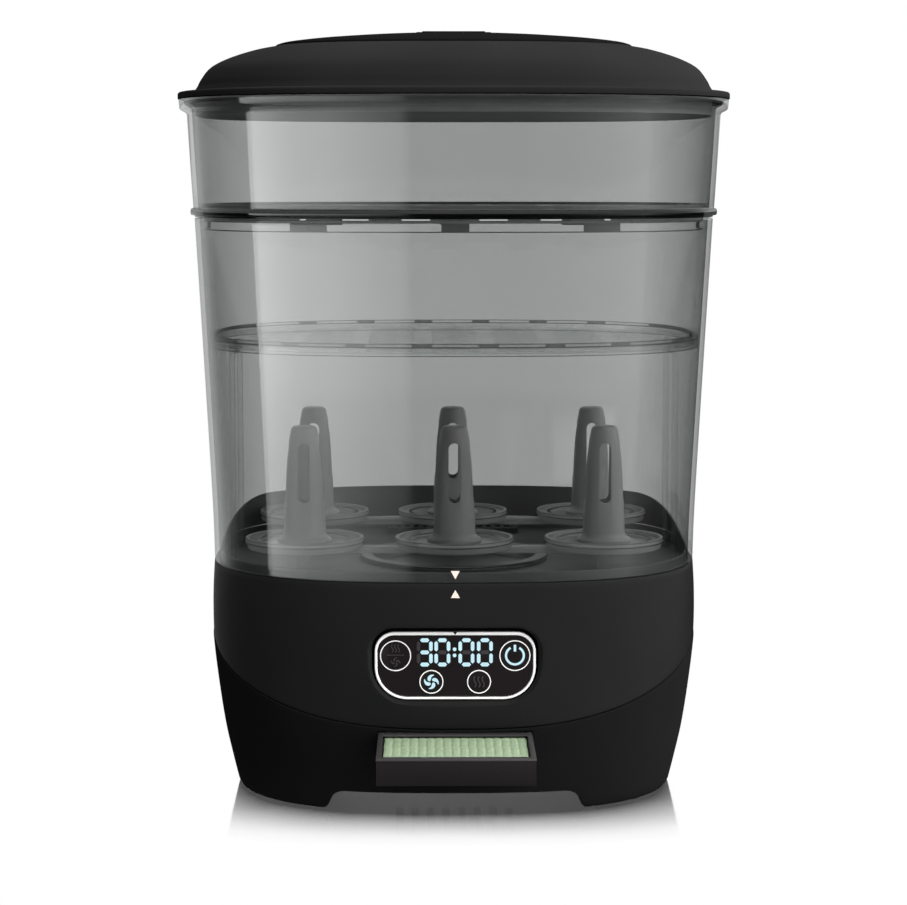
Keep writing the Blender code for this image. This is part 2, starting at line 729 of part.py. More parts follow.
# ---------------------------------------------------------------- filter drawer
def filter_drawer():
    wall = 0.0024
    back = DRAWER_FRONT + DRAWER_LENGTH
    tray = box("filter_drawer", (-DRAWER_HALF_WIDTH, DRAWER_FRONT, DRAWER_BOTTOM),
               (DRAWER_HALF_WIDTH, back, DRAWER_TOP))
    cut(tray, box("drawer_hollow_cutter",
                  (-DRAWER_HALF_WIDTH + wall, DRAWER_FRONT + 0.003, DRAWER_BOTTOM + 0.002),
                  (DRAWER_HALF_WIDTH - wall, back - wall, DRAWER_TOP + 0.01)))
    slots = []
    for column in range(4):
        for row in range(3):
            x = -0.0249 + 0.0166 * column
            y = DRAWER_FRONT + 0.0165 + 0.0235 * row
            slots.append(((x - 0.0068, y - 0.0102, 0.02), (x + 0.0068, y + 0.0102, 0.036)))
    cut(tray, boxes("drawer_floor_cutter", slots))
    return place(tray, DRAWER, DRAWER_AXIS)


def filter_media():
    """Pleated sheet: a zigzag across the drawer, drawn out along it."""
    pleats = 14
    half = DRAWER_HALF_WIDTH - 0.0028
    low = DRAWER_BOTTOM + 0.0024
    high = DRAWER_TOP - 0.0022
    thick = 0.0014
    upper = []
    for step in range(2 * pleats + 1):
        x = -half + half * step / pleats
        upper.append((x, low + thick if step % 2 == 0 else high))
    lower = [(x, z - thick) for x, z in reversed(upper)]
    ends = (DRAWER_FRONT + 0.0034, DRAWER_FRONT + DRAWER_LENGTH - 0.0028)
    rings = [[Vector((x, y, z)) for x, z in upper + lower] for y in ends]
    media = mesh_object("filter_media", loft(rings, closed=False))
    return place(media, MEDIA, DRAWER_AXIS)


# ---------------------------------------------------------------- control panel
def arc(centre_x, centre_z, radius, start, end, steps):
    points = []
    for step in range(steps + 1):
        angle = math.radians(start + (end - start) * step / steps)
        points.append((centre_x + radius * math.cos(angle), centre_z + radius * math.sin(angle)))
    return points


def panel_outline(grow, steps=5):
    """The panel's rounded outline, with tighter upper corners, grown outwards."""
    half_width = PANEL_HALF_WIDTH + grow
    half_height = PANEL_HALF_HEIGHT + grow
    top = PANEL_TOP_RADIUS + grow
    low = PANEL_BOTTOM_RADIUS + grow
    right = half_width - top
    right_low = half_width - low
    up = PANEL_Z + half_height
    down = PANEL_Z - half_height
    return (arc(right, up - top, top, 0, 90, steps) + arc(-right, up - top, top, 90, 180, steps)
            + arc(-right_low, down + low, low, 180, 270, steps)
            + arc(right_low, down + low, low, 270, 360, steps))


def panel_prism(name, grow, front, back):
    rings = [[Vector((x, y, z)) for x, z in panel_outline(grow)] for y in (front, back)]
    return mesh_object(name, loft(rings, closed=False))


def panel_ring():
    ring = panel_prism("panel_ring", 0, PANEL_Y - 0.0006, PANEL_Y + 0.002)
    cut(ring, panel_prism("ring_cutter", -0.0016, PANEL_Y - 0.01, PANEL_Y + 0.01))
    return place(ring, TRIM, HOUSING)


def display_window():
    window = panel_prism("display_window", -0.0019, PANEL_Y, PANEL_Y + 0.002)
    for name, (x, z, radius) in KEYS.items():
        cut(window, panel_cylinder(name + "_hole", x, z, radius + GAP, PANEL_Y - 0.01,
                                   PANEL_Y + 0.01, 20))
    return place(window, WINDOW, HOUSING)


def key(name):
    """A round cap flush with the window, on a wider shoulder that stops behind it."""
    x, z, radius = KEYS[name]
    behind = PANEL_Y + 0.002 + GAP
    back = behind + 0.0014
    profile = [(0, 0.0002), (radius, 0.0002), (radius, PANEL_Y - behind),
               (radius + 0.0007, PANEL_Y - behind), (radius + 0.0007, PANEL_Y - back),
               (0.0018, PANEL_Y - back), (0.0018, PANEL_Y - back - 0.0006),
               (0, PANEL_Y - back - 0.0006)]
    cap = turned(name, profile, 16)
    axis = empty(name + "_axis", (x, PANEL_Y, z), HOUSING)
    place(cap, WINDOW, axis)
    cap.location = (0, 0, 0)
    cap.rotation_euler = (math.radians(90), 0, 0)


def panel_housing():
    """Carrier behind the panel: a wall around the keys and the board, with ears."""
    front = PANEL_Y + 0.002 + GAP
    back = -0.0885
    carrier = panel_prism("panel_housing", 0, front, back)
    cut(carrier, panel_prism("carrier_cutter", -0.0015, front - 0.01, back + 0.01))
    return place(carrier, INNER, HOUSING)


def control_board():
    front = -0.0926
    board = panel_prism("control_board", -0.0019, front, front + 0.0016)
    for name, (x, z, _) in KEYS.items():
        join(board, panel_cylinder(name + "_switch", x, z, 0.0022, front - 0.0013,
                                   front + 0.0008, 8))
    return place(board, BOARD, HOUSING)


def display_module():
    module = box("display_module", (-0.0192, PANEL_Y + 0.0023, 0.0752),
                 (0.0192, -0.0929, 0.0884))
    return place(module, TRIM, HOUSING)


def power_board():
    board = box("power_board", (-0.096, -0.028, 0.024), (-0.048, 0.030, 0.0256))
    join(board, box("transformer", (-0.090, -0.022, 0.025), (-0.068, 0.002, 0.042)))
    join(board, cylinder("capacitor", (-0.058, -0.014), 0.006, 0.025, 0.043, 16))
    join(board, box("relay", (-0.088, 0.008, 0.025), (-0.070, 0.022, 0.038)))
    return place(board, BOARD, HOUSING)


# ---------------------------------------------------------------- racks
def rack_places():
    return [(column * RACK_COLUMN, row * RACK_ROW) for row in (-1, 1) for column in (-1, 0, 1)]


def rack_disc(name, x, y):
    """A round dish that carries one bottle, with a low lip."""
    floor = DISC_BOTTOM + 0.003
    lip = DISC_BOTTOM + 0.0056
    disc = cylinder(name, (x, y), DISC_RADIUS, DISC_BOTTOM, lip, 18)
    cut(disc, cylinder(name + "_hollow", (x, y), DISC_RADIUS - 0.002, floor, lip + 0.01, 18))
    return disc


def bottle_rack():
    """Six dishes on a spider of ribs, standing on six short legs."""
    low = DISC_BOTTOM - 0.0025
    rib = 0.004
    rack = box("bottle_rack", (-RACK_COLUMN, -RACK_ROW - rib, low),
               (RACK_COLUMN, -RACK_ROW + rib, DISC_BOTTOM + 0.001))
    join(rack, box("rack_rib_back", (-RACK_COLUMN, RACK_ROW - rib, low),
                   (RACK_COLUMN, RACK_ROW + rib, DISC_BOTTOM + 0.001)))
    for column in (-1, 0, 1):
        x = column * RACK_COLUMN
        join(rack, box("rack_rib_cross", (x - rib, -RACK_ROW, low + 0.0003),
                       (x + rib, RACK_ROW, DISC_BOTTOM + 0.0007)))
    for column in (-1, 1):
        for row in (-1, 0, 1):
            leg = (column * RACK_COLUMN, row * RACK_ROW)
            join(rack, cylinder("rack_leg", leg, 0.0035, DECK_TOP + GAP, low + 0.002, 8))
    for number, (x, y) in enumerate(rack_places(), 1):
        join(rack, rack_disc("rack_disc_%d" % number, x, y))
    return place(rack, RACK_GREY, RACK)


def drying_post(name, x, y):
    """A hollow tapered post with four long slots that let the air into a bottle."""
    foot_z = DISC_BOTTOM + 0.003 + GAP
    outer = [(0.0062, POST_TOP), (0.0090, POST_TOP - 0.0035), (0.0106, foot_z + 0.003),
             (0.0135, foot_z + 0.0012), (0.0135, foot_z)]
    inner = [(0.0088, foot_z), (0.0060, POST_TOP - 0.0022)]
    profile = [(0, POST_TOP)] + outer + inner + [(0, POST_TOP - 0.0022)]
    post = turned(name, profile, 12)
    place(post, POST_GREY, RACK)
    post.location = (x, y, -DISC_BOTTOM)
    for tool in (post_slot(name, x, y, True), post_slot(name, x, y, False)):
        cut(post, tool)


def post_slot(name, x, y, along_x):
    """An upright slot with round ends that passes through the post."""
    half = 0.003
    reach = 0.02
    section = arc(0, 0.176, half, 0, 180, 3) + arc(0, 0.152, half, 180, 360, 3)
    rings = []
    for end in (-reach, reach):
        if along_x:
            rings.append([Vector((x + end, y + across, z)) for across, z in section])
        else:
            rings.append([Vector((x + across, y + end, z)) for across, z in section])
    return mesh_object(name + "_slot_cutter", loft(rings, closed=False))


def nipple_rack():
    """Ring tray with a grid of bars, carried by two side legs."""
    low = NIPPLE_RACK_BOTTOM
    half = NIPPLE_RACK_HALF_WIDTH
    rack = housing_loft("nipple_rack", [(half, low), (half, low + 0.0056),
                                        (half - 0.0026, low + 0.0056),
                                        (half - 0.0026, low)], closed=True)
    bar = 0.002
    for column in (-2, -1, 0, 1, 2):
        x = column * 0.0376
        reach = half * DEPTH_RATIO * (1 - abs(x / half) ** PLAN_POWER) ** (1 / PLAN_POWER)
        join(rack, box("grid_bar", (x - bar, -reach + 0.0012, low + 0.0010),
                       (x + bar, reach - 0.0012, low + 0.0040)))
    for y in (-0.053, 0.0, 0.053):
        reach = half * (1 - abs(y / half / DEPTH_RATIO) ** PLAN_POWER) ** (1 / PLAN_POWER)
        join(rack, box("grid_crossbar", (-reach + 0.0012, y - bar, low + 0.0013),
                       (reach - 0.0012, y + bar, low + 0.0037)))
    return place(rack, RACK_GREY, NIPPLES)


def nipple_rack_leg(name, side):
    """An upside-down U of flat bar under one side of the rack, standing on the deck."""
    near, far = sorted((side * (LEG_X - LEG_THICK / 2), side * (LEG_X + LEG_THICK / 2)))
    half = LEG_WIDTH / 2
    leg = box(name, (near, -half, DECK_TOP + GAP), (far, half, NIPPLE_RACK_BOTTOM + 0.0010))
    cut(leg, box("leg_window_cutter", (near - 0.01, LEG_BAR - half, DECK_TOP - 0.01),
                 (far + 0.01, half - LEG_BAR, NIPPLE_RACK_BOTTOM - LEG_BAR)))
    return place(leg, RACK_GREY, NIPPLES)


# ---------------------------------------------------------------- sleeve, tier and lid
def main_sleeve():
    outer = [(0.1227, SLEEVE_BOTTOM), (0.1236, 0.1458), (0.1273, 0.2186), (0.1311, SLEEVE_TOP)]
    inner = [(half_width - WALL, z) for half_width, z in reversed(outer)]
    sleeve = housing_loft("main_sleeve", outer + inner, closed=True)
    return place(sleeve, SMOKED, SLEEVE)


def tier_wall():
    low = TIER_BOTTOM
    outer = [(0.1330, low), (0.1330, low + 0.0031), (0.1316, low + 0.0037), (0.1344, 0.3414),
             (0.1380, 0.3432), (0.1384, TIER_TOP)]
    inner = [(0.1360, TIER_TOP), (0.1356, 0.3456), (0.1320, 0.3438), (0.1291, low + 0.0028),
             (0.1268, low + 0.0026), (0.1268, low)]
    wall = housing_loft("tier_wall", outer + inner, closed=True)
    return place(wall, SMOKED, TIER)


def tier_tray():
    """Slotted floor that drops onto the tier's ledge, with a skirt into the sleeve."""
    floor = TIER_BOTTOM + 0.0031
    skirt = 0.2832
    profile = [(0.1282, floor), (0.1282, floor + 0.0024), (0.1263 - WALL + 0.0006, floor + 0.0018)]
    low = [(0.1263 - 0.0018, floor), (0.1263 - 0.0018, skirt), (0.1263, skirt), (0.1263, floor)]
    rings = low + profile
    tray = housing_loft("tier_tray", rings, closed=False)
    slots = []
    for column in (-2, -1, 0, 1, 2):
        for row in (-3, -2, -1, 0, 1, 2, 3):
            x = column * 0.042
            y = row * 0.024
            if abs(x / 0.112) ** PLAN_POWER + abs(y / 0.092) ** PLAN_POWER < 0.86:
                slots.append(((x - 0.016, y - 0.0035, 0.28), (x + 0.016, y + 0.0035, 0.31)))
    cut(tray, boxes("tray_slots_cutter", slots))
    return place(tray, RACK_GREY, TIER)


def lid_shell():
    seat_edge = CAP_HALF_WIDTH + 0.0006
    outer = [(RIM_HALF_WIDTH, LID_BOTTOM), (RIM_HALF_WIDTH, 0.3515), (0.1299, 0.3521),
             (0.1275, 0.3572), (0.1223, 0.3639), (0.1140, 0.3681), (0.1018, 0.3721),
             (seat_edge, 0.3745)]
    seat = [(seat_edge, 0.3724), (0.0850, 0.3724), (0.0850, 0.3702)]
    inner = [(0.1018, 0.3695), (0.1131, 0.3655), (0.1204, 0.3617), (0.1250, 0.3556),
             (0.1270, LID_BOTTOM)]
    shell = housing_loft("lid_shell", outer + seat + inner, closed=True)
    for side in (-1, 1):
        join(shell, grip_pocket(side))
    for side in (-1, 1):
        cut(shell, grip_hollow(side))
    return place(shell, CASING, LID)


def grip_pocket(side):
    """Thickening under the dome that carries a finger recess."""
    near, far = sorted((side * 0.0975, side * 0.1155))
    return box("grip_pocket", (near, -0.024, 0.3585), (far, 0.024, 0.3668))


def grip_hollow(side):
    """The finger recess itself: a slanted pocket that opens outwards and upwards."""
    section = [(0.0995, 0.3725), (0.1005, 0.3612), (0.1050, 0.3606), (0.1138, 0.3720),
               (0.1138, 0.3760), (0.0995, 0.3760)]
    rings = [[Vector((side * x, y, z)) for x, z in section] for y in (-0.0215, 0.0215)]
    return mesh_object("grip_hollow_cutter", loft(rings, closed=False))


def vent_slots(name, bottom, top):
    corners = []
    for step in (-2, -1, 0, 1, 2):
        y = step * 0.0075
        reach = 0.022 - 0.003 * abs(step)
        corners.append(((-reach, y - 0.0016, bottom), (reach, y + 0.0016, top)))
    return boxes(name, corners)


def lid_cap():
    """Raised top plate that drops into the dome's seat, with steam vents in the middle."""
    under = [(0.0250, 0.3796), (0.0652, 0.3766), (0.0840, 0.3742), (0.0855, 0.3727),
             (CAP_HALF_WIDTH, 0.3727)]
    upper = [(CAP_HALF_WIDTH, 0.3751), (0.0860, 0.3766), (0.0672, 0.3788), (0.0470, 0.3806),
             (0.0240, 0.3822)]
    cap = housing_loft("lid_cap", under + upper, closed=False)
    cut(cap, vent_slots("cap_vent_cutter", 0.37, 0.39))
    return place(cap, CASING, LID)


def lid_liner():
    """Inner plate that turns the condensate outwards, with vents under the cap's vents."""
    under = [(0.0300, 0.3500), (0.0890, 0.3470), (0.1266, 0.3408), (0.1277, 0.3400),
             (0.1300, 0.3400)]
    upper = [(0.1300, LID_BOTTOM - GAP), (0.1282, LID_BOTTOM - GAP), (0.1271, 0.3432),
             (0.0890, 0.3490), (0.0300, 0.3520)]
    liner = housing_loft("lid_liner", under + upper, closed=False)
    cut(liner, vent_slots("liner_vent_cutter", 0.33, 0.36))
    return place(liner, INNER, LID)


def lid_seal():
    top = LID_BOTTOM - GAP
    ring = [(0.1350, 0.3459), (0.1353, top), (0.1330, top), (0.1330, 0.3459)]
    seal = housing_loft("lid_seal", ring, closed=True)
    return place(seal, SILICONE, LID)


# ---------------------------------------------------------------- assembly
upper_shell()
lower_shell()
bottom_cover()
for index, (screw_x, screw_y) in enumerate(SCREW_PLACES, 1):
    base_screw("base_screw_%d" % index, screw_x, screw_y)
for index, (foot_x, foot_y) in enumerate(FOOT_PLACES, 1):
    foot("foot_%d" % index, foot_x, foot_y)
power_inlet()

top_deck()
deck_rim()
rear_splash_guard()
heating_plate()
plate_gasket()
heating_element()
thermostat()
air_outlet_grille()

blower_housing()
blower_cover()
motor()
motor_shaft()
impeller()
filter_bay()
air_duct()
air_riser()
air_heater()

filter_drawer()
filter_media()

panel_ring()
display_window()
for key_name in KEYS:
    key(key_name)
panel_housing()
control_board()
display_module()
power_board()

bottle_rack()
for index, (post_x, post_y) in enumerate(rack_places(), 1):
    drying_post("drying_post_%d" % index, post_x, post_y)
nipple_rack()
nipple_rack_leg("nipple_rack_leg_left", -1)
nipple_rack_leg("nipple_rack_leg_right", 1)

main_sleeve()
tier_wall()
tier_tray()
lid_shell()
lid_cap()
lid_liner()
lid_seal()
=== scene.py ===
"""Looks of the bottle steriliser: fine surfaces, materials, studio and camera.

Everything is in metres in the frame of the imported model. Pieces are drawn about the housing's
vertical axis and shifted onto it. A section or outline written in millimetres, for mm() or
curve(), is a list of (across, up) or (across, up, corner radius) above a packed height.
"""
from math import cos, pi, radians, sin

import bmesh
import bpy
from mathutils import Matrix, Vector


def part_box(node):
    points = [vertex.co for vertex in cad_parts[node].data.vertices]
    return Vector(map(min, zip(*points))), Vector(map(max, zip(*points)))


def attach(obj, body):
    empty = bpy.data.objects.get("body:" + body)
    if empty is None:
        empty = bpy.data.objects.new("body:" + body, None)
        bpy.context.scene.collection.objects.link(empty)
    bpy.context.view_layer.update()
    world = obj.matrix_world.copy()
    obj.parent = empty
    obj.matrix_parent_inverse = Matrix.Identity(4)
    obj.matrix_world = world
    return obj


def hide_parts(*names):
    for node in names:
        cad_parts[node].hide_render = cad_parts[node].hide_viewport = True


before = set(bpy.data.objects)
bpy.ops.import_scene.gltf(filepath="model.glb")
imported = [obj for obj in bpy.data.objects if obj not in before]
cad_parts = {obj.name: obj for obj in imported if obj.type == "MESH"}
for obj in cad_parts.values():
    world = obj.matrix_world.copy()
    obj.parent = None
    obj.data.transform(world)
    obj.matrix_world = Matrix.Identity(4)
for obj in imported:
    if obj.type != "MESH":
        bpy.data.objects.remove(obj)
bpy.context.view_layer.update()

# ---------------------------------------------------------------- driving dimensions
MM = 0.001
POWER = 2.75                   # superellipse exponent of the housing seen from above
RATIO = 0.845                  # half depth over half width of lid, tier and sleeve
SIDES = 216                    # points around a housing shell
GAP = 0.3 * MM


def low(node):
    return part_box(node)[0]


def high(node):
    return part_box(node)[1]


AXIS_Y = (low("lid_shell").y + high("lid_shell").y) / 2
LID_Z = low("lid_shell").z
TIER_Z = low("tier_wall").z
SLEEVE_Z = low("main_sleeve").z
SLEEVE_TOP = high("main_sleeve").z
BASE_TOP = high("base_upper_shell").z
DECK_TOP = high("top_deck").z
RIM_TOP = high("deck_rim").z
GUARD_TOP = high("rear_splash_guard").z

BASE_WALL = 2.6 * MM
BASE_PROFILE = [               # height, half width of the base casing
    (0.0, 0.1106), (0.0142, 0.1140), (0.0314, 0.1177), (0.055, 0.1211),
    (0.076, 0.12335), (0.088, 0.1238), (0.1024, 0.1236), (BASE_TOP, 0.1228)]
BASE_RATIO_BOTTOM = 0.820
SEAM_BACK = 0.088              # height of the seam between the casings, at the back
SEAM_DROP = 0.045              # how far it sinks towards the front
SEAM_REACH = 0.105
SEAM_STEP = 0.4 * MM

PANEL_Y = low("display_window").y - AXIS_Y
PANEL_Z = (low("panel_ring").z + high("panel_ring").z) / 2
PANEL_HALF_WIDTH = high("panel_ring").x
PANEL_HALF_HEIGHT = (high("panel_ring").z - low("panel_ring").z) / 2
PANEL_TOP_RADIUS = 9.5 * MM
PANEL_BOTTOM_RADIUS = 15.8 * MM
PRINT_RISE = 0.10 * MM         # how far printed marks stand proud
DRAWER_BAR = -0.0985           # back edge of the bar across the drawer's opening


# ---------------------------------------------------------------- mesh helpers
def middle(node):
    """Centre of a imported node's box, from the housing's axis."""
    a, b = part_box(node)
    return (a.x + b.x) / 2, (a.y + b.y) / 2 - AXIS_Y, (a.z + b.z) / 2


def add_object(name, mesh):
    made = bpy.data.objects.new(name, mesh)
    bpy.context.scene.collection.objects.link(made)
    return made


def new_object(name, build, sharp=32):
    """An object whose bmesh build(bm) fills, shifted onto the housing axis."""
    bm = bmesh.new()
    build(bm)
    bmesh.ops.recalc_face_normals(bm, faces=bm.faces)
    bmesh.ops.translate(bm, vec=(0, AXIS_Y, 0), verts=bm.verts)
    return mesh_object(name, bm, sharp)


def mesh_object(name, bm, sharp=32):
    mesh = bpy.data.meshes.new(name)
    bm.to_mesh(mesh)
    bm.free()
    smooth(mesh, sharp)
    return add_object(name, mesh)


def smooth(mesh, sharp=32):
    mesh.shade_smooth()
    mesh.set_sharp_from_angle(angle=radians(sharp))


def settle(item):
    """Apply the modifiers of an object to its mesh."""
    bpy.context.view_layer.update()
    source = item.evaluated_get(bpy.context.evaluated_depsgraph_get())
    mesh = bpy.data.meshes.new_from_object(source)
    item.modifiers.clear()
    item.data = mesh
    smooth(mesh)
    return item


def bevel_step(item, width, segments, angle):
    step = item.modifiers.new("edge", "BEVEL")
    step.width = width * MM
    step.segments = segments
    step.limit_method = "ANGLE"
    step.angle_limit = radians(angle)
    step.harden_normals = False


def bevel(item, width, segments=2, angle=35):
    bevel_step(item, width, segments, angle)
    return settle(item)


def boolean(item, tool, operation="DIFFERENCE"):
    step = item.modifiers.new("cut", "BOOLEAN")
    step.operation = operation
    step.solver = "EXACT"
    step.object = tool
    settle(item)
    bpy.data.objects.remove(tool)


def cut(item, outlines, start, end, axis="z"):
    """Straight holes, their outlines drawn across an axis."""
    boolean(item, prisms("cutter", outlines, start, end, axis))


def cut_boxes(item, corners):
    boolean(item, boxes("cutter", corners))


def join_meshes(name, items):
    """Several objects as one, without welding them."""
    bm = bmesh.new()
    for item in items:
        bm.from_mesh(item.data)
        bpy.data.objects.remove(item)
    return mesh_object(name, bm)


def turns(steps):
    return [2 * pi * step / steps for step in range(steps)]


def ring_point(angle, half_width, half_depth):
    across = abs(cos(angle) / half_width) ** POWER
    along = abs(sin(angle) / half_depth) ** POWER
    radius = (across + along) ** (-1 / POWER)
    return radius * cos(angle), radius * sin(angle)


def loft(rings, closed=True):
    """Skin over rings of equal count. A closed one runs back to its first ring; the other
    gets flat ends."""
    def build(bm):
        loops = [[bm.verts.new(point) for point in points] for points in rings]
        pairs = list(zip(loops, loops[1:]))
        if closed:
            pairs.append((loops[-1], loops[0]))
        else:
            bm.faces.new(loops[0])
            bm.faces.new(loops[-1])
        for first, second in pairs:
            count = len(first)
            for step in range(count):
                after = (step + 1) % count
                bm.faces.new((first[step], first[after], second[after], second[step]))
    return build


def mm(points, z=0.0):
    """Points in millimetres above the height z, as metres."""
    return [(x * MM, z + up * MM, *(value * MM for value in radius)) for x, up, *radius in points]


def rounded(points, closed=True, steps=4):
    """Corners with a third value are rounded by about that radius."""
    result = []
    count = len(points)
    for index, point in enumerate(points):
        here = Vector(point[:2])
        radius = point[2] if len(point) > 2 else 0
        ends = not closed and index in (0, count - 1)
        if not radius or ends:
            result.append(here)
            continue
        before = Vector(points[index - 1][:2]) - here
        after = Vector(points[(index + 1) % count][:2]) - here
        start = here + before.normalized() * min(radius, before.length * 0.48)
        end = here + after.normalized() * min(radius, after.length * 0.48)
        for step in range(steps + 1):
            share = step / steps
            result.append(start * (1 - share) ** 2 + here * 2 * share * (1 - share)
                          + end * share ** 2)
    return result


def curve(points, z=0.0, closed=True, steps=4):
    return rounded(mm(points, z), closed, steps)


def spline(points, steps=5):
    """Smooth curve through points in a plane, ends included."""
    points = [Vector(point) for point in points]
    padded = [points[0] * 2 - points[1]] + points + [points[-1] * 2 - points[-2]]
    result = []
    for index in range(1, len(padded) - 2):
        a, b, c, d = padded[index - 1:index + 3]
        for step in range(steps):
            t = step / steps
            result.append(0.5 * (2 * b + (c - a) * t + (2 * a - 5 * b + 4 * c - d) * t ** 2
                                 + (3 * b - a - 3 * c + d) * t ** 3))
    return result + [points[-1]]


def value_at(table, where):
    """Smooth value between the rows of a table of (place, value)."""
    last = len(table) - 1
    index = 0
    while index < last - 1 and where > table[index + 1][0]:
        index += 1
    (x0, y0), (x1, y1) = table[index], table[index + 1]

    def slope(at):
        a, b = table[max(at - 1, 0)], table[min(at + 1, last)]
        return (b[1] - a[1]) / (b[0] - a[0])
    span = x1 - x0
    t = (where - x0) / span
    m0, m1 = slope(index) * span, slope(index + 1) * span
    return ((2 * t ** 3 - 3 * t ** 2 + 1) * y0 + (t ** 3 - 2 * t ** 2 + t) * m0
            + (3 * t ** 2 - 2 * t ** 3) * y1 + (t ** 3 - t ** 2) * m1)


def shell(name, profile, closed=True):
    """A housing shell from (half width, height) pairs that run around its section."""
    rings = [[Vector((*ring_point(angle, half_width, half_width * RATIO), z))
              for angle in turns(SIDES)] for half_width, z in profile]
    return new_object(name, loft(rings, closed))


def turned(name, profile, centre=(0, 0), sides=96):
    """A round piece from (radius, height) pairs that run around its section."""
    rings = [[Vector((centre[0] + radius * cos(angle), centre[1] + radius * sin(angle),
                      z)) for angle in turns(sides)] for radius, z in profile]
    return new_object(name, loft(rings))


def boxes(name, corners):
    def build(bm):
        for first, second in corners:
            made = bmesh.ops.create_cube(bm, size=1.0)["verts"]
            bmesh.ops.scale(bm, vec=[b - a for a, b in zip(first, second)], verts=made)
            bmesh.ops.translate(bm, vec=[(a + b) / 2 for a, b in zip(first, second)], verts=made)
    return new_object(name, build)


def prisms(name, outlines, start, end, axis="z"):
    """Straight bars in one mesh, their outlines drawn across an axis."""
    def place(depth, a, b):
        return {"x": (depth, a, b), "y": (a, depth, b), "z": (a, b, depth)}[axis]

    def build(bm):
        for points in outlines:
            loft([[Vector(place(depth, a, b)) for a, b in points] for depth in (start, end)],
                 closed=False)(bm)
    return new_object(name, build)


def slot_outline(x, y, half_long, half_short, steps=5):
    """A slot with round ends, along X, or along Y when half_short is the larger."""
    points = []
    radius = min(half_long, half_short)
    straight = max(half_long, half_short) - radius
    for end in (1, -1):
        for step in range(steps + 1):
            angle = pi * (step / steps - 0.5)
            along = end * (straight + radius * cos(angle))
            across = end * radius * sin(angle)
            if half_long >= half_short:
                points.append((x + along, y + across))
            else:
                points.append((x - across, y + along))
    return points


def slot_grid(pitch, rows, reach, limit, *slot):
    """Slots in seven columns and some rows, as far as they stay inside an oval."""
    places = [(column * pitch[0], row * pitch[1]) for column in range(-3, 4)
              for row in range(-rows, rows + 1)]
    return [slot_outline(x, y, *slot) for x, y in places
            if abs(x / reach[0]) ** POWER + abs(y / reach[1]) ** POWER < limit]


# ---------------------------------------------------------------- materials
class Graph:
    """A node tree under construction."""

    def __init__(self, tree):
        self.tree = tree

    def put(self, socket, value):
        """Link an output to a socket, or give the socket a value."""
        if isinstance(value, bpy.types.NodeSocket):
            self.tree.links.new(value, socket)
        else:
            socket.default_value = value

    def node(self, kind, inputs=(), **settings):
        """The outputs of a new node, whose inputs are fed by name or number."""
        made = self.tree.nodes.new("ShaderNode" + kind)
        for key, value in settings.items():
            setattr(made, key, value)
        for name, value in dict(inputs).items():
            self.put(made.inputs[name], value)
        return made.outputs

    def ramp(self, source, *stops):
        """A colour, or a grey given as one number, at each position."""
        made = self.tree.nodes.new("ShaderNodeValToRGB")
        elements = made.color_ramp.elements
        while len(elements) < len(stops):
            elements.new(0.5)
        for element, (position, colour) in zip(elements, stops):
            element.position = position
            element.color = (*(colour if isinstance(colour, tuple) else (colour,) * 3), 1.0)
        self.put(made.inputs["Fac"], source)
        return made.outputs["Color"]

    def math(self, operation, *values):
        return self.node("Math", enumerate(values), operation=operation)[0]

    def mix(self, share, first, second):
        return self.node("MixShader", {0: share, 1: first, 2: second})[0]


class Nodes(Graph):
    """A material with a principled shader, and textures laid in object space."""

    def __init__(self, name):
        self.material = bpy.data.materials.new(name)
        self.material.use_nodes = True
        super().__init__(self.material.node_tree)
        self.shader = self.tree.nodes["Principled BSDF"]
        self.place = self.node("TexCoord")["Object"]

    def principled(self, **values):
        for name, value in values.items():
            self.put(self.shader.inputs[name.replace("_", " ")], value)
        return self.material

    def surface(self, shader):
        self.put(self.tree.nodes["Material Output"].inputs["Surface"], shader)
        return self.material

    def noise(self, scale, detail, place=None):
        return self.node("TexNoise", {"Scale": scale, "Detail": detail,
                                      "Vector": self.place if place is None else place})["Fac"]

    def tones(self, source, colour, vary, start=0.3):
        """Darker and lighter shades of a colour, by a noise."""
        dark, light = (tuple(channel * factor for channel in colour)
                       for factor in (1 - vary, 1 + vary))
        return self.ramp(source, (start, dark), (1 - start, light))

    def range(self, source, start, end):
        return self.node("MapRange", {"Value": source, "From Min": 0.3, "From Max": 0.7,
                                      "To Min": start, "To Max": end})["Result"]

    def bump(self, source, distance):
        return self.node("Bump", {"Height": source, "Distance": distance * MM,
                                  "Strength": 1.0})["Normal"]

    def glossy(self, roughness, colour):
        return self.node("BsdfGlossy", {"Roughness": roughness, "Color": colour})[0]


def plastic(name, colour, roughness, grain=0.012, vary=0.07, specular=0.5, spread=0.04,
            grain_scale=2600):
    """Moulded plastic: fine spark-eroded grain, slightly uneven sheen and tone."""
    made = Nodes(name)
    return made.principled(
        Base_Color=made.tones(made.noise(14, 3), colour, vary, 0.35),
        Roughness=made.range(made.noise(45, 4), roughness - spread, roughness + spread),
        Specular_IOR_Level=specular, Normal=made.bump(made.noise(grain_scale, 2), grain))


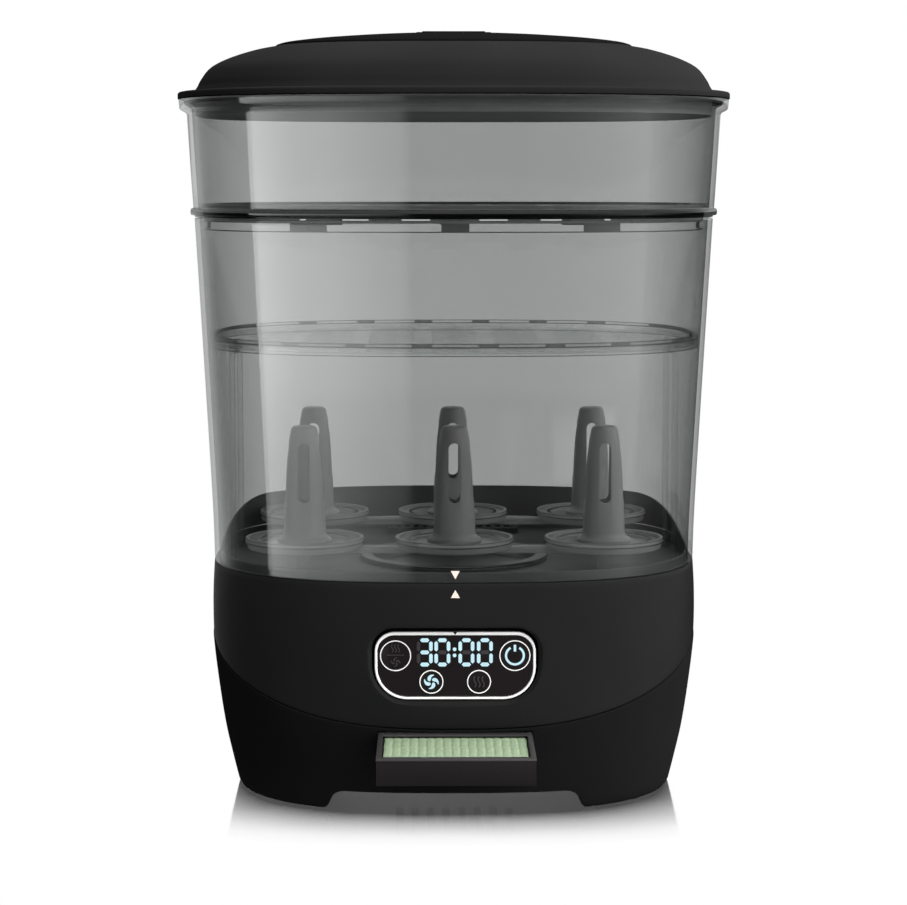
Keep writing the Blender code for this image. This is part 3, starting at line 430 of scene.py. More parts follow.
def smoked_clear(name, clear, oblique, roughness=0.02, body=None, body_share=0.0):
    """Smoked clear plastic. Each face lets a share of the light through, less at a slant,
    and mirrors the rest of the studio as such plastic does. A body colour makes it milky."""
    made = Nodes(name)
    slant = made.node("LayerWeight", {"Blend": 0.5})["Facing"]
    slanted = tuple(channel * 0.945 for channel in clear)
    rim = tuple(a * 0.72 + b * 0.28 for a, b in zip(clear, oblique))
    tint = made.ramp(slant, (0.0, clear), (0.22, clear), (0.46, slanted), (0.80, rim),
                     (1.0, oblique))
    tone = made.ramp(made.noise(9, 2), (0.3, 0.985), (0.7, 1.0))
    product = made.node("Mix", {"Factor": 1.0, "A": tint, "B": tone}, data_type="RGBA",
                        blend_type="MULTIPLY")["Result"]
    through = made.node("BsdfTransparent", {"Color": product})[0]
    if body:
        made.principled(Base_Color=(*body, 1), Roughness=0.35)
        through = made.mix(body_share, through, made.shader.outputs[0])
    else:
        made.tree.nodes.remove(made.shader)
    share = made.math("ADD", made.math("MULTIPLY", made.math("POWER", slant, 5.0), 0.96), 0.04)
    return made.surface(made.mix(made.math("MINIMUM", share, 0.20), through,
                                 made.glossy(roughness, (0.95, 0.97, 0.96, 1))))


def brushed_round(name, colour, roughness, centre):
    """Spun or brushed metal whose fine lines run around a centre."""
    made = Nodes(name)
    place = made.node("VectorMath", {0: made.place, 1: centre}, operation="SUBTRACT")[0]
    place = made.node("VectorMath", {0: place, 1: (1, 1, 0)}, operation="MULTIPLY")[0]
    length = made.node("VectorMath", {0: place}, operation="LENGTH")["Value"]
    lines = made.node("TexNoise", {"Scale": 2500, "Detail": 3, "W": length},
                      noise_dimensions="1D")["Fac"]
    return made.principled(
        Base_Color=made.tones(lines, colour, 0.12), Metallic=1.0,
        Roughness=made.range(lines, roughness - 0.06, roughness + 0.08),
        Normal=made.bump(lines, 0.01))


def metal(name, colour, roughness, scale=60):
    """Cast or machined metal with uneven tone."""
    made = Nodes(name)
    grain = made.noise(scale, 5)
    return made.principled(
        Base_Color=made.tones(grain, colour, 0.15), Metallic=1.0,
        Roughness=made.range(grain, roughness - 0.08, roughness + 0.08),
        Normal=made.bump(made.noise(scale * 20, 3), 0.02))


def lit(name, colour):
    """A lit segment or icon, a little uneven as a diffused lamp is."""
    made = Nodes(name)
    return made.principled(
        Emission_Color=made.tones(made.noise(160, 1), colour, 0.04), Emission_Strength=1.0,
        Base_Color=(0.01, 0.01, 0.01, 1), Roughness=0.5)


def filter_paper(name, colour):
    """Pleated fibre paper: fine felted fibres and a soft mottling."""
    made = Nodes(name)
    stretched = made.node("Mapping", {"Vector": made.place, "Scale": (1, 0.35, 1)})[0]
    fibres = made.noise(900, 6, stretched)
    return made.principled(
        Base_Color=made.tones(fibres, colour, 0.12), Roughness=made.range(fibres, 0.85, 0.98),
        Specular_IOR_Level=0.2, Normal=made.bump(made.noise(2200, 5), 0.06))


CASING = plastic("casing", (0.0130, 0.0130, 0.0133), 0.55, specular=0.02)
# Painted shade: the lower casing is the casing's black plastic made darker, for the shade on its
# walls that lean downwards.
CASING_LOW_PAINTED_SHADE = plastic("casing_lower", (0.0078, 0.0078, 0.0080), 0.50, specular=0.0)
LID_BLACK = plastic("lid", (0.0145, 0.0145, 0.0147), 0.60, specular=0.0)
PLATE_BLACK = plastic("lid_plate", (0.0054, 0.0054, 0.0055), 0.60, specular=0.0)
DECK_BLACK = plastic("deck", (0.095, 0.095, 0.096), 0.42, specular=0.3)
INNER_BLACK = plastic("inner_moulding", (0.030, 0.030, 0.031), 0.55)
LINER_GREY = plastic("liner", (0.24, 0.24, 0.242), 0.55, specular=0.2)
POST_GREY = plastic("post", (0.21, 0.21, 0.208), 0.34, grain=0.004)
TRAY_GREY = plastic("tray", (0.15, 0.155, 0.154), 0.30, grain=0.004)
RUBBER = plastic("rubber", (0.015, 0.015, 0.015), 0.85, grain=0.03, specular=0.3)
SILICONE = plastic("silicone", (0.10, 0.10, 0.10), 0.65, grain=0.01, specular=0.35)
DRAWER_BODY = plastic("drawer_body", (0.0105, 0.0085, 0.0092), 0.5, specular=0.12)
# Painted highlight: the drawer's top rim is the drawer's black plastic made lighter, for the
# light that falls on its upper edge.
DRAWER_RIM_PAINTED_HIGHLIGHT = plastic("drawer_rim_painted_highlight", (0.048, 0.044, 0.046), 0.45, specular=0.2)
TRIM = plastic("trim", (0.93, 0.92, 0.92), 0.28, grain=0.002, vary=0.02)
WINDOW = plastic("window", (0.0130, 0.0105, 0.0115), 0.10, grain=0.0, spread=0.02,
                 specular=0.15)
BOARD = plastic("circuit_board", (0.03, 0.12, 0.05), 0.45, grain=0.02, vary=0.2,
                grain_scale=900)
PRINT_PALE = plastic("print_pale", (0.90, 0.74, 0.66), 0.5)
PRINT_WHITE = plastic("print_white", (0.93, 0.91, 0.91), 0.45, vary=0.02)
PRINT_DIM = plastic("print_dim", (0.040, 0.036, 0.038), 0.5, specular=0.15)
GLOW = lit("glow", (0.56, 0.82, 0.91))
SMOKED = smoked_clear("smoked", (0.765, 0.77, 0.768), (0.47, 0.475, 0.473))
SMOKED_THICK = smoked_clear("smoked_thick", (0.17, 0.172, 0.171), (0.34, 0.345, 0.343))
RACK_CLEAR = smoked_clear("rack_clear", (0.975, 0.98, 0.978), (0.78, 0.79, 0.788), 0.04)
RACK_FLOOR = smoked_clear("rack_floor", (0.97, 0.975, 0.973), (0.92, 0.925, 0.923), 0.06)
RACK_EDGE = smoked_clear("rack_edge", (0.62, 0.63, 0.628), (0.56, 0.57, 0.568), 0.10)
RACK_MILKY = smoked_clear("rack_milky", (0.92, 0.925, 0.923), (0.60, 0.61, 0.608), 0.08,
                          (0.62, 0.63, 0.628), 0.38)
STEEL = brushed_round("steel", (0.30, 0.30, 0.30), 0.42, (0, AXIS_Y - 0.012, 0))
SCREW_STEEL = metal("screw_steel", (0.60, 0.60, 0.60), 0.3, 300)
CAST = metal("cast_aluminium", (0.55, 0.55, 0.56), 0.45)
PAPER = filter_paper("filter_paper", (0.225, 0.295, 0.188))


def finish(item, skin, body, slot, *nodes):
    """Give a piece its material and its body, and hide the nodes it replaces. The slot it stands
    for is not used.
    """
    item.data.materials.clear()
    item.data.materials.append(skin)
    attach(item, body)
    if nodes:
        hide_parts(*nodes)


# ---------------------------------------------------------------- lid
def lid_dome():
    dome = spline(mm([(130.6, 3.6), (129.0, 6.0), (127.1, 9.6), (122.5, 15.2), (114.0, 19.7),
                      (101.8, 23.7), (91.0, 25.9)], LID_Z), 6)
    outer = curve([(138.8, 0, .6), (138.8, 3.0, 1.2), (131.8, 3.3, 1.0)], LID_Z, closed=False)
    edge = curve([(91.0, 25.9), (90.6, 25.8, .4), (90.6, 23.8), (85.0, 23.8), (85.0, 21.7)],
                 LID_Z, closed=False)
    inner = mm([(101.8, 21.0), (113.1, 17.0), (120.4, 13.2), (125.0, 7.1), (127.0, 0)], LID_Z)
    lid = shell("lid_dome", [*outer, *dome, *edge[1:], *inner])
    x, half_wide, half_long = 0.1065, 0.009, 0.0255
    pockets = [((side * x - half_wide, -half_long, LID_Z + 0.0085),
                (side * x + half_wide, half_long, LID_Z + 0.0165)) for side in (-1, 1)]
    boolean(lid, boxes("pockets", pockets), "UNION")
    boolean(lid, join_meshes("scoops", [finger_scoop(-1), finger_scoop(1)]))
    bevel(lid, 0.35, 2, 40)
    finish(lid, LID_BLACK, "lid", "casing_black", "lid_shell")


def finger_scoop(side):
    """The hollow for the fingertips: a slanted pocket whose floor rises at both ends."""
    sections = []
    top = LID_Z + 0.0285
    half_length, deepest = 0.0225, 0.0162
    for step in range(-12, 13):
        share = step / 12.6        # stops short of 1, so that no end shrinks to a line
        depth = (1 - share ** 2) ** 0.35
        floor = top - depth * deepest
        section = [(0.0994, top), (0.1002, floor + 0.0014), (0.1016, floor),
                   (0.1046, floor - 0.0002), (0.1080, floor + 0.0026),
                   (0.1080 + 0.0086 * depth, top)]
        sections.append([Vector((side * x, half_length * share, z)) for x, z in section])
    return new_object("scoop", loft(sections, closed=False))


def vent_slots(steps, half_long=0.022, half_short=0.0016):
    """Slots across the lid's middle, shorter towards the front and back."""
    pitch, shorter = 0.0075, 0.003
    return [slot_outline(0, step * pitch, half_long - shorter * abs(step), half_short)
            for step in steps]


def lid_top():
    """Raised plate in the dome, with louvred steam vents in the middle."""
    z = LID_Z
    rise = spline(mm([(89.4, 27.0), (86.0, 27.9), (76.6, 29.2), (67.2, 30.2), (47.0, 31.9),
                      (24.0, 33.3), (6.0, 33.7)], z), 5)
    outer = rounded([*mm([(90.1, 24.2), (90.1, 26.6, .7)], z), tuple(rise[0])], closed=False)
    under = mm([(6.0, 31.2), (25.0, 31.1), (65.2, 28.1), (84.0, 25.7), (85.5, 24.2)], z)
    cap = shell("lid_top_plate", [*under, *outer, *rise[1:]], closed=False)
    cut(cap, vent_slots(range(-2, 3)), z + 0.02, z + 0.04)
    bevel(cap, 0.25, 2, 40)
    finish(cap, PLATE_BLACK, "lid", "casing_black", "lid_cap")
    ribs = vent_slots((-1.5, -0.5, 0.5, 1.5), 0.0205, 0.0012)
    louvres = bevel(prisms("lid_vent_ribs", ribs, z + 0.0330, z + 0.0343), 0.3, 2, 40)
    finish(louvres, PLATE_BLACK, "lid", "casing_black")


def lid_inside():
    z = LID_Z
    under = curve([(30.0, 1.5), (89.0, -1.5, 6), (126.6, -7.7), (127.7, -8.5, .6),
                   (130.0, -8.5, .5)], z, closed=False)
    upper = mm([(130.0, -.3), (128.2, -.3), (127.1, -5.3), (89.0, .5), (30.0, 3.5)], z)
    liner = shell("lid_liner_plate", [*under, *upper], closed=False)
    cut(liner, vent_slots(range(-2, 3)), z - 0.02, z + 0.01)
    finish(liner, LINER_GREY, "lid", "inner_black", "lid_liner")
    seal = shell("lid_seal_ring", curve([(135.0, -2.6, .6), (135.3, -.3, .3), (133.0, -.3, .3),
                                         (133.0, -2.6, .6)], z))
    finish(seal, SILICONE, "lid", "silicone_grey", "lid_seal")


# ---------------------------------------------------------------- accessory tier
def tier_body():
    """The clear wall, which stands on the thicker bead of the tier's foot."""
    wall = shell("tier_clear_wall", curve([
        (131.8, 4.3), (131.67, 4.7, .3), (134.4, 51.5, 1.2), (138.0, 53.3, 1.2),
        (138.4, 58.3, .7), (136.0, 58.3, .5), (135.6, 55.7, 1.0), (132.0, 53.9, 1.2),
        (129.2, 4.5, .1), (129.15, 4.3)], TIER_Z))
    finish(wall, SMOKED, "accessory_tier", "smoked_clear", "tier_wall")
    bead = shell("tier_foot_bead", curve([
        (131.0, 0, .3), (131.1, .8, .2), (133.1, 1.0, .9), (133.1, 4.1, 1.3), (131.8, 4.28),
        (129.15, 4.28), (129.1, 2.8, .3), (126.8, 2.6, .3), (126.8, 0, .3)], TIER_Z))
    finish(bead, SMOKED_THICK, "accessory_tier", "smoked_clear")


def tier_floor():
    """Slotted tray with a windowed skirt that hangs into the sleeve."""
    z = TIER_Z
    skirt = z - 0.0064
    tray = shell("tier_tray_floor", curve([
        (124.5, 3.1), (124.5, -6.4), (126.3, -6.4, .4), (126.3, 3.1, .4), (128.2, 3.1, .4),
        (128.2, 6.4, .6), (126.4, 6.4, .5), (125.6, 4.9)], z, closed=False), closed=False)
    outlines = slot_grid((0.0330, 0.0125), 7, (0.122, 0.103), 0.82, 0.0130, 0.0030)
    cut(tray, outlines, z - 0.02, z + 0.02)
    depth = 0.13               # clears the tray's edge
    posts = (-0.128, -0.0785, -0.0607, -0.0066, 0.0066, 0.0607, 0.0785, 0.128)
    spans = list(zip(posts[::2], posts[1::2]))
    windows = [((a, -depth, skirt + 0.0005), (b, 0, z - 0.0021)) for a, b in spans]
    windows += [((a, 0.001, skirt - 0.001), (b, depth, z - 0.0019)) for a, b in spans]
    windows += [((x - half, -depth, z - 0.0007), (x + half, 0, z - 0.0001)) for x, half in (
        (-0.0722, 0.0015), (-0.0478, 0.0070), (-0.0186, 0.0067), (0.0180, 0.0067),
        (0.0472, 0.0070), (0.0722, 0.0015))]
    cut_boxes(tray, windows)
    bevel(tray, 0.15, 1, 50)
    finish(tray, TRAY_GREY, "accessory_tier", "rack_grey", "tier_tray")


# ---------------------------------------------------------------- sleeve
def sleeve_body():
    z = SLEEVE_Z
    outer = spline([(0.1227, z), (0.1236, z + 0.0293), (0.1273, z + 0.1021),
                    (0.1311, SLEEVE_TOP)], 6)
    thick = 0.0024
    inner = [(point.x - thick, point.y) for point in reversed(outer)]
    wall = shell("sleeve_clear_wall", rounded([
        (outer[0].x, z, 0.0004), *[tuple(point) for point in outer[1:-1]],
        (outer[-1].x, outer[-1].y, 0.0005), (*inner[0], 0.0005), *inner[1:-1],
        (inner[-1][0], z, 0.0003)]))
    finish(wall, SMOKED, "main_sleeve", "smoked_clear", "main_sleeve")


def pointer(name, z, height, y, body):
    """A small printed pointer on the front. A negative height points down."""
    half_width = 2.15 * MM
    outline = [(-half_width, z), (half_width, z), (0, z + height)]
    mark = prisms(name, [outline], y - 0.00012, y + 0.00020, "y")
    finish(mark, PRINT_PALE, body, "trim_white")


# ---------------------------------------------------------------- racks
def nipple_rack():
    """An oval tray: a clear rim between two edge rings, a slotted floor and a windowed rail."""
    z = low("nipple_rack").z
    half = high("nipple_rack").x
    rack = "nipple_rack"

    def hoop(label, points, closed=True):
        points = [(half + x, up, *radius) for x, up, *radius in mm(points, z)]
        if any(len(point) > 2 for point in points):
            points = rounded(points)
        return shell("nipple_rack_" + label, points, closed)

    rim = hoop("rim", [(0, 0, .6), (0, 5.6, .6), (-2.2, 5.6, .6), (-2.2, 3.6), (-2.2, 0, .4)])
    finish(rim, RACK_CLEAR, rack, "rack_grey")
    for label, up in (("foot", -0.1), ("lip", 3.9)):
        edge = hoop(label, [(.1, up), (.1, up + .4), (-.4, up + .4), (-.4, up)])
        finish(edge, RACK_EDGE, rack, "rack_grey")
    floor = hoop("floor", [(-2.1, 1.0), (-2.1, 3.4)], closed=False)
    pitch = 0.0318
    outlines = slot_grid((pitch, 0.0148), 6, (0.121, 0.102), 0.80, 0.0118, 0.0048, 3)
    cut(floor, outlines, z - 0.01, z + 0.01)
    bevel(floor, 0.35, 2, 50)
    finish(floor, RACK_FLOOR, rack, "rack_grey", rack)
    rail = hoop("rail", [(-2.6, 4.0), (-2.6, 6.0), (-3.2, 6.0), (-3.2, 4.0)])
    cut_boxes(rail, [
        ((x * pitch - 0.0111, -0.13, z + 0.0044), (x * pitch + 0.0111, 0.13, z + 0.0056))
        for x in range(-3, 4)])
    finish(rail, RACK_EDGE, rack, "rack_grey")
    for side, label in ((-1, "left"), (1, "right")):
        rack_leg(side, label)


def rack_leg(side, label):
    """An upside-down U of thin flat bar."""
    node = "nipple_rack_leg_" + label
    bottom = low(node).z
    top = high(node).z
    half = 0.028
    bar = 0.006
    chamfer = 0.004
    x, half_thick = side * 0.1122, 0.0013
    near, far = x - half_thick, x + half_thick
    leg = boxes("nipple_leg_" + label, [((near, -half, bottom), (far, half, top))])
    foot_z, side_y, head = bottom - 0.01, half - bar, top - bar
    opening = [(-side_y, foot_z), (side_y, foot_z), (side_y, head - chamfer),
               (side_y - chamfer, head), (-side_y + chamfer, head), (-side_y, head - chamfer)]
    cut(leg, [opening], near - 0.01, far + 0.01, "x")
    bevel(leg, 0.5, 2, 40)
    finish(leg, RACK_CLEAR, "nipple_rack", "rack_grey", node)


def bottle_rack():
    """Six dishes on a spider of ribs, standing on short legs."""
    low_z = low("bottle_rack").z
    top = high("bottle_rack").z
    dish = top - 0.0056
    post_x, post_y, _ = middle("drying_post_1")
    column, row = -post_x, -post_y
    radius = high("bottle_rack").x - column
    places = [(x * column, y * row) for y in (-1, 1) for x in (-1, 0, 1)]
    rib = 0.004
    bars = [((-column, side * row - rib, dish - 0.0025), (column, side * row + rib, dish + 0.001))
            for side in (-1, 1)]
    bars += [((x * column - rib, -row, dish - 0.0022), (x * column + rib, row, dish + 0.0007))
             for x in (-1, 0, 1)]
    spider = bevel(boxes("bottle_rack_ribs", bars), 0.5)
    section = rounded([(0.0005, low_z), (0.0035, low_z, 0.0006), (0.0035, dish), (0.0005, dish)])
    legs = [turned("rack_foot", section, (x * column, y * row), 24)
            for x in (-1, 1) for y in (-1, 0, 1)]
    spider = join_meshes("bottle_rack_spider", [spider, *legs])
    finish(spider, RACK_MILKY, "bottle_rack", "rack_grey", "bottle_rack")
    for number, place in enumerate(places, 1):
        rack_dish(number, place, radius, dish, top)
        drying_post(number, place)


def rack_dish(number, place, radius, bottom, top):
    """A dish with a stepped lip, and a shallow ring that centres the bottle's neck."""
    section = rounded([
        (0.0006, bottom, 0), (radius - 0.0008, bottom, 0.0008), (radius, top - 0.0022, 0.0005),
        (radius + 0.0003, top - 0.0020, 0.0003), (radius + 0.0003, top, 0.0006),
        (radius - 0.0016, top, 0.0005), (radius - 0.0020, bottom + 0.0034, 0.0006),
        *mm([(23.6, 3.2, .3), (23.2, 4.0, .3), (22.2, 4.0, .3), (21.8, 3.0, .3), (.6, 3.0, 0)],
            bottom)])
    dish = turned("rack_dish_%d" % number, section, place)
    finish(dish, RACK_MILKY, "bottle_rack", "rack_grey")
    lines = [turned("line", [(outer, z), (outer, z + 0.0004), (inner, z + 0.0004), (inner, z)],
                    place)
             for outer, inner, z in ((radius + 0.0005, radius, top - 0.0024),
                                     (radius + 0.0005, radius, top - 0.0005),
                                     (0.0236, 0.0222, bottom + 0.0041))]
    finish(join_meshes("rack_dish_lines_%d" % number, lines), RACK_EDGE, "bottle_rack",
           "rack_grey")


def drying_post(number, place):
    """A hollow tapered post with a shoulder and four long slots."""
    node = "drying_post_%d" % number
    foot_z = low(node).z
    top = high(node).z
    outer = rounded([
        *mm([(.3, 0), (6.2, 0, 2.2), (8.6, -13, 8), (9.3, -23, 6)], top),
        *mm([(10.6, 3.2, 1.8), (13.5, 1.3, .6), (13.5, 0, .2)], foot_z)], closed=False, steps=5)
    inner = rounded([(0.0094, foot_z), *mm([(7.4, -23, 4), (5.0, -2.2, 1), (.3, -2.2)], top)],
                    closed=False)
    post = turned("post_%d" % number, [*outer, *inner], place, 64)
    boolean(post, join_meshes("slots", [post_slot(place, top, True),
                                        post_slot(place, top, False)]))
    bevel(post, 0.25, 2, 45)
    finish(post, POST_GREY, "bottle_rack", "post_grey", node)


def post_slot(place, top, along_x):
    """A cutter through the post. The one along Y is a hair higher, so no faces coincide."""
    half = 0.0029
    reach = 0.02
    x, y = place
    across, along, lift = (y, x, 0.0) if along_x else (x, y, 0.00001)
    outline = []
    for centre, start in ((top - 0.0110, 0), (top - 0.0350, pi)):
        for step in range(9):
            angle = start + pi * step / 8
            outline.append((across + half * cos(angle),
                            centre + half * sin(angle) + lift))
    return prisms("slot", [outline], along - reach, along + reach, "x" if along_x else "y")


# ---------------------------------------------------------------- base casing
def base_point(angle, z, inset=0.0):
    half_width = value_at(BASE_PROFILE, z)
    ratio = BASE_RATIO_BOTTOM + (RATIO - BASE_RATIO_BOTTOM) * z / BASE_TOP
    return Vector((*ring_point(angle, half_width - inset, half_width * ratio - inset), z))


def seam_height(angle):
    y = base_point(angle, SEAM_BACK).y
    share = min(max((SEAM_REACH - y) / (2 * SEAM_REACH), 0.0), 1.0)
    return SEAM_BACK - SEAM_DROP * share ** 3


def seam(rise):
    """A height around the casing, above the seam."""
    return lambda angle: seam_height(angle) + rise


def level(z):
    return lambda angle: z


def between(share, first, second):
    return lambda angle: first(angle) + share * (second(angle) - first(angle))


def casing_ring(inset, height, sides=SIDES):
    return [base_point(angle, height(angle), inset) for angle in turns(sides)]


def panel_loft(name, sections, closed):
    """A panel piece from (growth, depth, rise) around the panel's outline."""
    rings = []
    for grow, y, rise in sections:
        half_width = PANEL_HALF_WIDTH + grow
        half_height = PANEL_HALF_HEIGHT + grow
        top = PANEL_TOP_RADIUS + grow
        foot_radius = PANEL_BOTTOM_RADIUS + grow
        points = []
        for side_x, side_z, radius, start in ((1, 1, top, 0), (-1, 1, top, 90),
                                              (-1, -1, foot_radius, 180),
                                              (1, -1, foot_radius, 270)):
            x = side_x * (half_width - radius)
            z = PANEL_Z + side_z * (half_height - radius) + rise
            for step in range(13):
                angle = radians(start + 90 * step / 12)
                points.append(Vector((x + radius * cos(angle), y,
                                      z + radius * sin(angle))))
        rings.append(points)
    return new_object(name, loft(rings, closed))


def upper_casing():
    """From the seam up the outside, over the edge, down inside to the ledge of the deck."""
    ledge = DECK_TOP - 0.0024
    top = level(BASE_TOP - 0.0008)
    rings = [casing_ring(0.0006, seam(GAP)), casing_ring(0.0001, seam(GAP + 0.0003))]
    rings += [casing_ring(0, between(step / 26, seam(GAP + 0.0009), top)) for step in range(27)]
    rings += [casing_ring(inset, level(z)) for inset, z in (
        (0.0003, BASE_TOP - 0.0002), (0.0009, BASE_TOP), (BASE_WALL, BASE_TOP),
        (BASE_WALL, ledge), (BASE_WALL + 0.0032, ledge), (BASE_WALL + 0.0032, ledge - 0.002))]
    rings += [casing_ring(BASE_WALL, between(share, seam(GAP), level(ledge - 0.005)))
              for share in (1, 0.5, 0)]
    casing = new_object("casing_upper", loft(rings))
    dish = ((0.0046, -0.112, -0.0012), (0.0046, -0.1032, -0.0012), (0.0041, -0.1024, -0.0010),
            (0.0007, PANEL_Y + 0.0002, 0), (0.0005, PANEL_Y + 0.0008, 0), (0.0005, -0.085, 0))
    boolean(casing, panel_loft("dish", dish, closed=False))
    groove_y = PANEL_Y + 0.0014
    groove = [(grow, y, 0.0009) for grow, y in (
        (0.0005, -0.106), (0.0013, -0.106), (0.0013, groove_y), (0.0005, groove_y))]
    boolean(casing, panel_loft("groove", groove, closed=True))
    bevel(casing, 0.35, 2, 30)
    finish(casing, CASING, "base", "casing_black", "base_upper_shell")


def lower_casing():
    """From the foot up the outside, over the seam and down inside."""
    bottom = low("base_lower_shell").z
    lift = level(bottom + 0.0025)
    rings = [casing_ring(0.0014, level(bottom)), casing_ring(0.0002, level(bottom + 0.0007)),
             casing_ring(-SEAM_STEP, lift)]
    rings += [casing_ring(-SEAM_STEP, between(step / 20, lift, seam(-0.0009)))
              for step in range(1, 21)]
    rings += [casing_ring(-SEAM_STEP + 0.0001, seam(-0.0003)), casing_ring(0.0005, seam(0))]
    rings += [casing_ring(BASE_WALL, between(share, level(bottom), seam(0)))
              for share in (1, 0.66, 0.33, 0)]
    casing = new_object("casing_lower", loft(rings))
    for side in (-1, 1):
        boolean(casing, foot_arch(side))
    for node, gap, start, end in (("filter_drawer", 0.0006, -0.13, -0.06),
                                  ("power_inlet", GAP, 0.07, 0.13)):
        a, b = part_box(node)
        cut_boxes(casing, [((a.x - gap, start, a.z - gap),
                            (b.x + gap, end, b.z + gap))])
    bevel(casing, 0.35, 2, 30)
    # The lower casing's darker colour is painted shade.
    finish(casing, CASING_LOW_PAINTED_SHADE, "base", "casing_lower_black", "base_lower_shell")


def foot_arch(side):
    """The opening under the front and the back edge, with rounded upper corners."""
    outline = curve([(-68.5, -2), (68.5, -2), (66.8, .2, 2), (62.5, 2, 4), (59.2, 11, 5.5),
                     (-59.2, 11, 5.5), (-62.5, 2, 4), (-66.8, .2, 2)], steps=6)
    return prisms("arch", [outline], *sorted((side * 0.06, side * 0.13)), "y")


def bottom_parts():
    bottom, top = (corner.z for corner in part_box("bottom_cover"))
    cover = new_object("bottom_plate", loft([casing_ring(BASE_WALL + 0.0009, level(z), 120)
                                             for z in (bottom, top)], closed=False))
    outlines = [slot_outline(-0.028 + 0.008 * step, -0.055, 0.002, 0.025)
                for step in range(8)]
    cut(cover, outlines, 0, 0.03)
    places = [middle("base_screw_%d" % number)[:2] for number in range(1, 5)]
    holes = [slot_outline(x, y, 0.0024, 0.0024, 8) for x, y in places]
    cut(cover, holes, 0, 0.03)
    bevel(cover, 0.25, 1, 40)
    finish(cover, INNER_BLACK, "base", "inner_black", "bottom_cover")
    for number, place in enumerate(places, 1):
        base_screw(number, place)
    for number in range(1, 5):
        foot(number)


def base_screw(number, place):
    """A cross-head screw from below."""
    node = "base_screw_%d" % number
    head = low(node).z
    tip = high(node).z
    section = rounded([*mm([(.2, 0), (3.6, 0, 1), (3.6, 2.2), (1.8, 2.2, .1)], head),
                       *mm([(1.8, -1.2), (.4, 0), (.2, 0)], tip)])
    screw = turned("case_screw_%d" % number, section, place, 32)
    x, y = place
    for half_x, half_y, depth in ((0.0021, 0.00045, 0.0011), (0.00045, 0.0021, 0.0012)):
        cut_boxes(screw, [((x - half_x, y - half_y, head - 0.001),
                           (x + half_x, y + half_y, head + depth))])
    finish(screw, SCREW_STEEL, "base", "stainless", node)


def foot(number):
    node = "foot_%d" % number
    bottom, top = (corner.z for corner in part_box(node))
    section = rounded([*mm([(.2, 0), (7.3, 0, .6), (8.5, 1.4, .8)], bottom),
                       (0.0085, top), (0.0002, top)])
    pad = turned("rubber_foot_%d" % number, section, middle(node)[:2], 48)
    finish(pad, RUBBER, "base", "rubber_black", node)


def power_inlet():
    """Figure-of-eight socket with two pins."""
    a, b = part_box("power_inlet")
    x, _, z = middle("power_inlet")
    back = b.y - AXIS_Y
    pin_x, pin, recess = 0.0043, 0.0011, 0.0044
    body = boxes("inlet_socket", [((a.x, a.y - AXIS_Y, a.z), (b.x, back, b.z))])
    for side in (-1, 1):
        outline = slot_outline(x + side * pin_x, z, recess, recess, 10)
        cut(body, [outline], back - 0.012, back + 0.01, "y")
    bevel(body, 0.3, 2, 40)
    finish(body, INNER_BLACK, "base", "inner_black", "power_inlet")
    pins = prisms("inlet_pins", [slot_outline(x + side * pin_x, z, pin, pin, 8)
                                 for side in (-1, 1)], back - 0.0125, back - 0.003, "y")
    finish(pins, SCREW_STEEL, "base", "stainless")


# ---------------------------------------------------------------- heating deck
def deck_ring(inset, z):
    return [Vector((point.x, point.y, z)) for point in
            casing_ring(BASE_WALL + inset, level(BASE_TOP))]


def heating_deck():
    """The deck and its lip, the steel dish let into it and the seal around that."""
    deck = new_object("deck_floor", loft([deck_ring(0.0004, z) for z in
                                          (low("top_deck").z, DECK_TOP)], closed=False))
    centre = (0, middle("heating_plate")[1])
    well, below, above = 0.043, 0.10, 0.13     # the hole's radius, and heights past the deck
    cut(deck, [slot_outline(*centre, well, well, 40)], below, above)
    cut_boxes(deck, [((-0.033, 0.0755, below), (0.033, 0.0905, above))])
    bevel(deck, 0.4, 2, 40)
    finish(deck, DECK_BLACK, "base", "casing_black", "top_deck")
    foot_z = low("deck_rim").z
    lip = new_object("deck_lip", loft([deck_ring(inset, z) for inset, z in (
        (0.0004, foot_z), (0.0004, RIM_TOP - 0.0004), (0.0007, RIM_TOP), (0.0015, RIM_TOP),
        (0.0018, RIM_TOP - 0.0004), (0.0018, foot_z))]))
    finish(lip, DECK_BLACK, "base", "casing_black", "deck_rim")
    splash_guard()
    dish = turned("heating_dish", curve([
        (.3, 111.2), (40.5, 111.2, 1.6), (41.8, 117.4, .8), (47.8, 117.4, .5), (48.0, 116.6, .3),
        (42.6, 116.6), (41.4, 110.4, 1.4), (.3, 110.4)], steps=5), centre, 128)
    finish(dish, STEEL, "base", "stainless", "heating_plate")
    a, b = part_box("plate_gasket")
    seal = turned("plate_seal", rounded([(0.0436, b.z, 0.0003), (0.048, b.z, 0.0004),
                                         (0.048, a.z), (0.0436, a.z)]), centre)
    finish(seal, SILICONE, "base", "silicone_grey", "plate_gasket")
    outlet_grille()


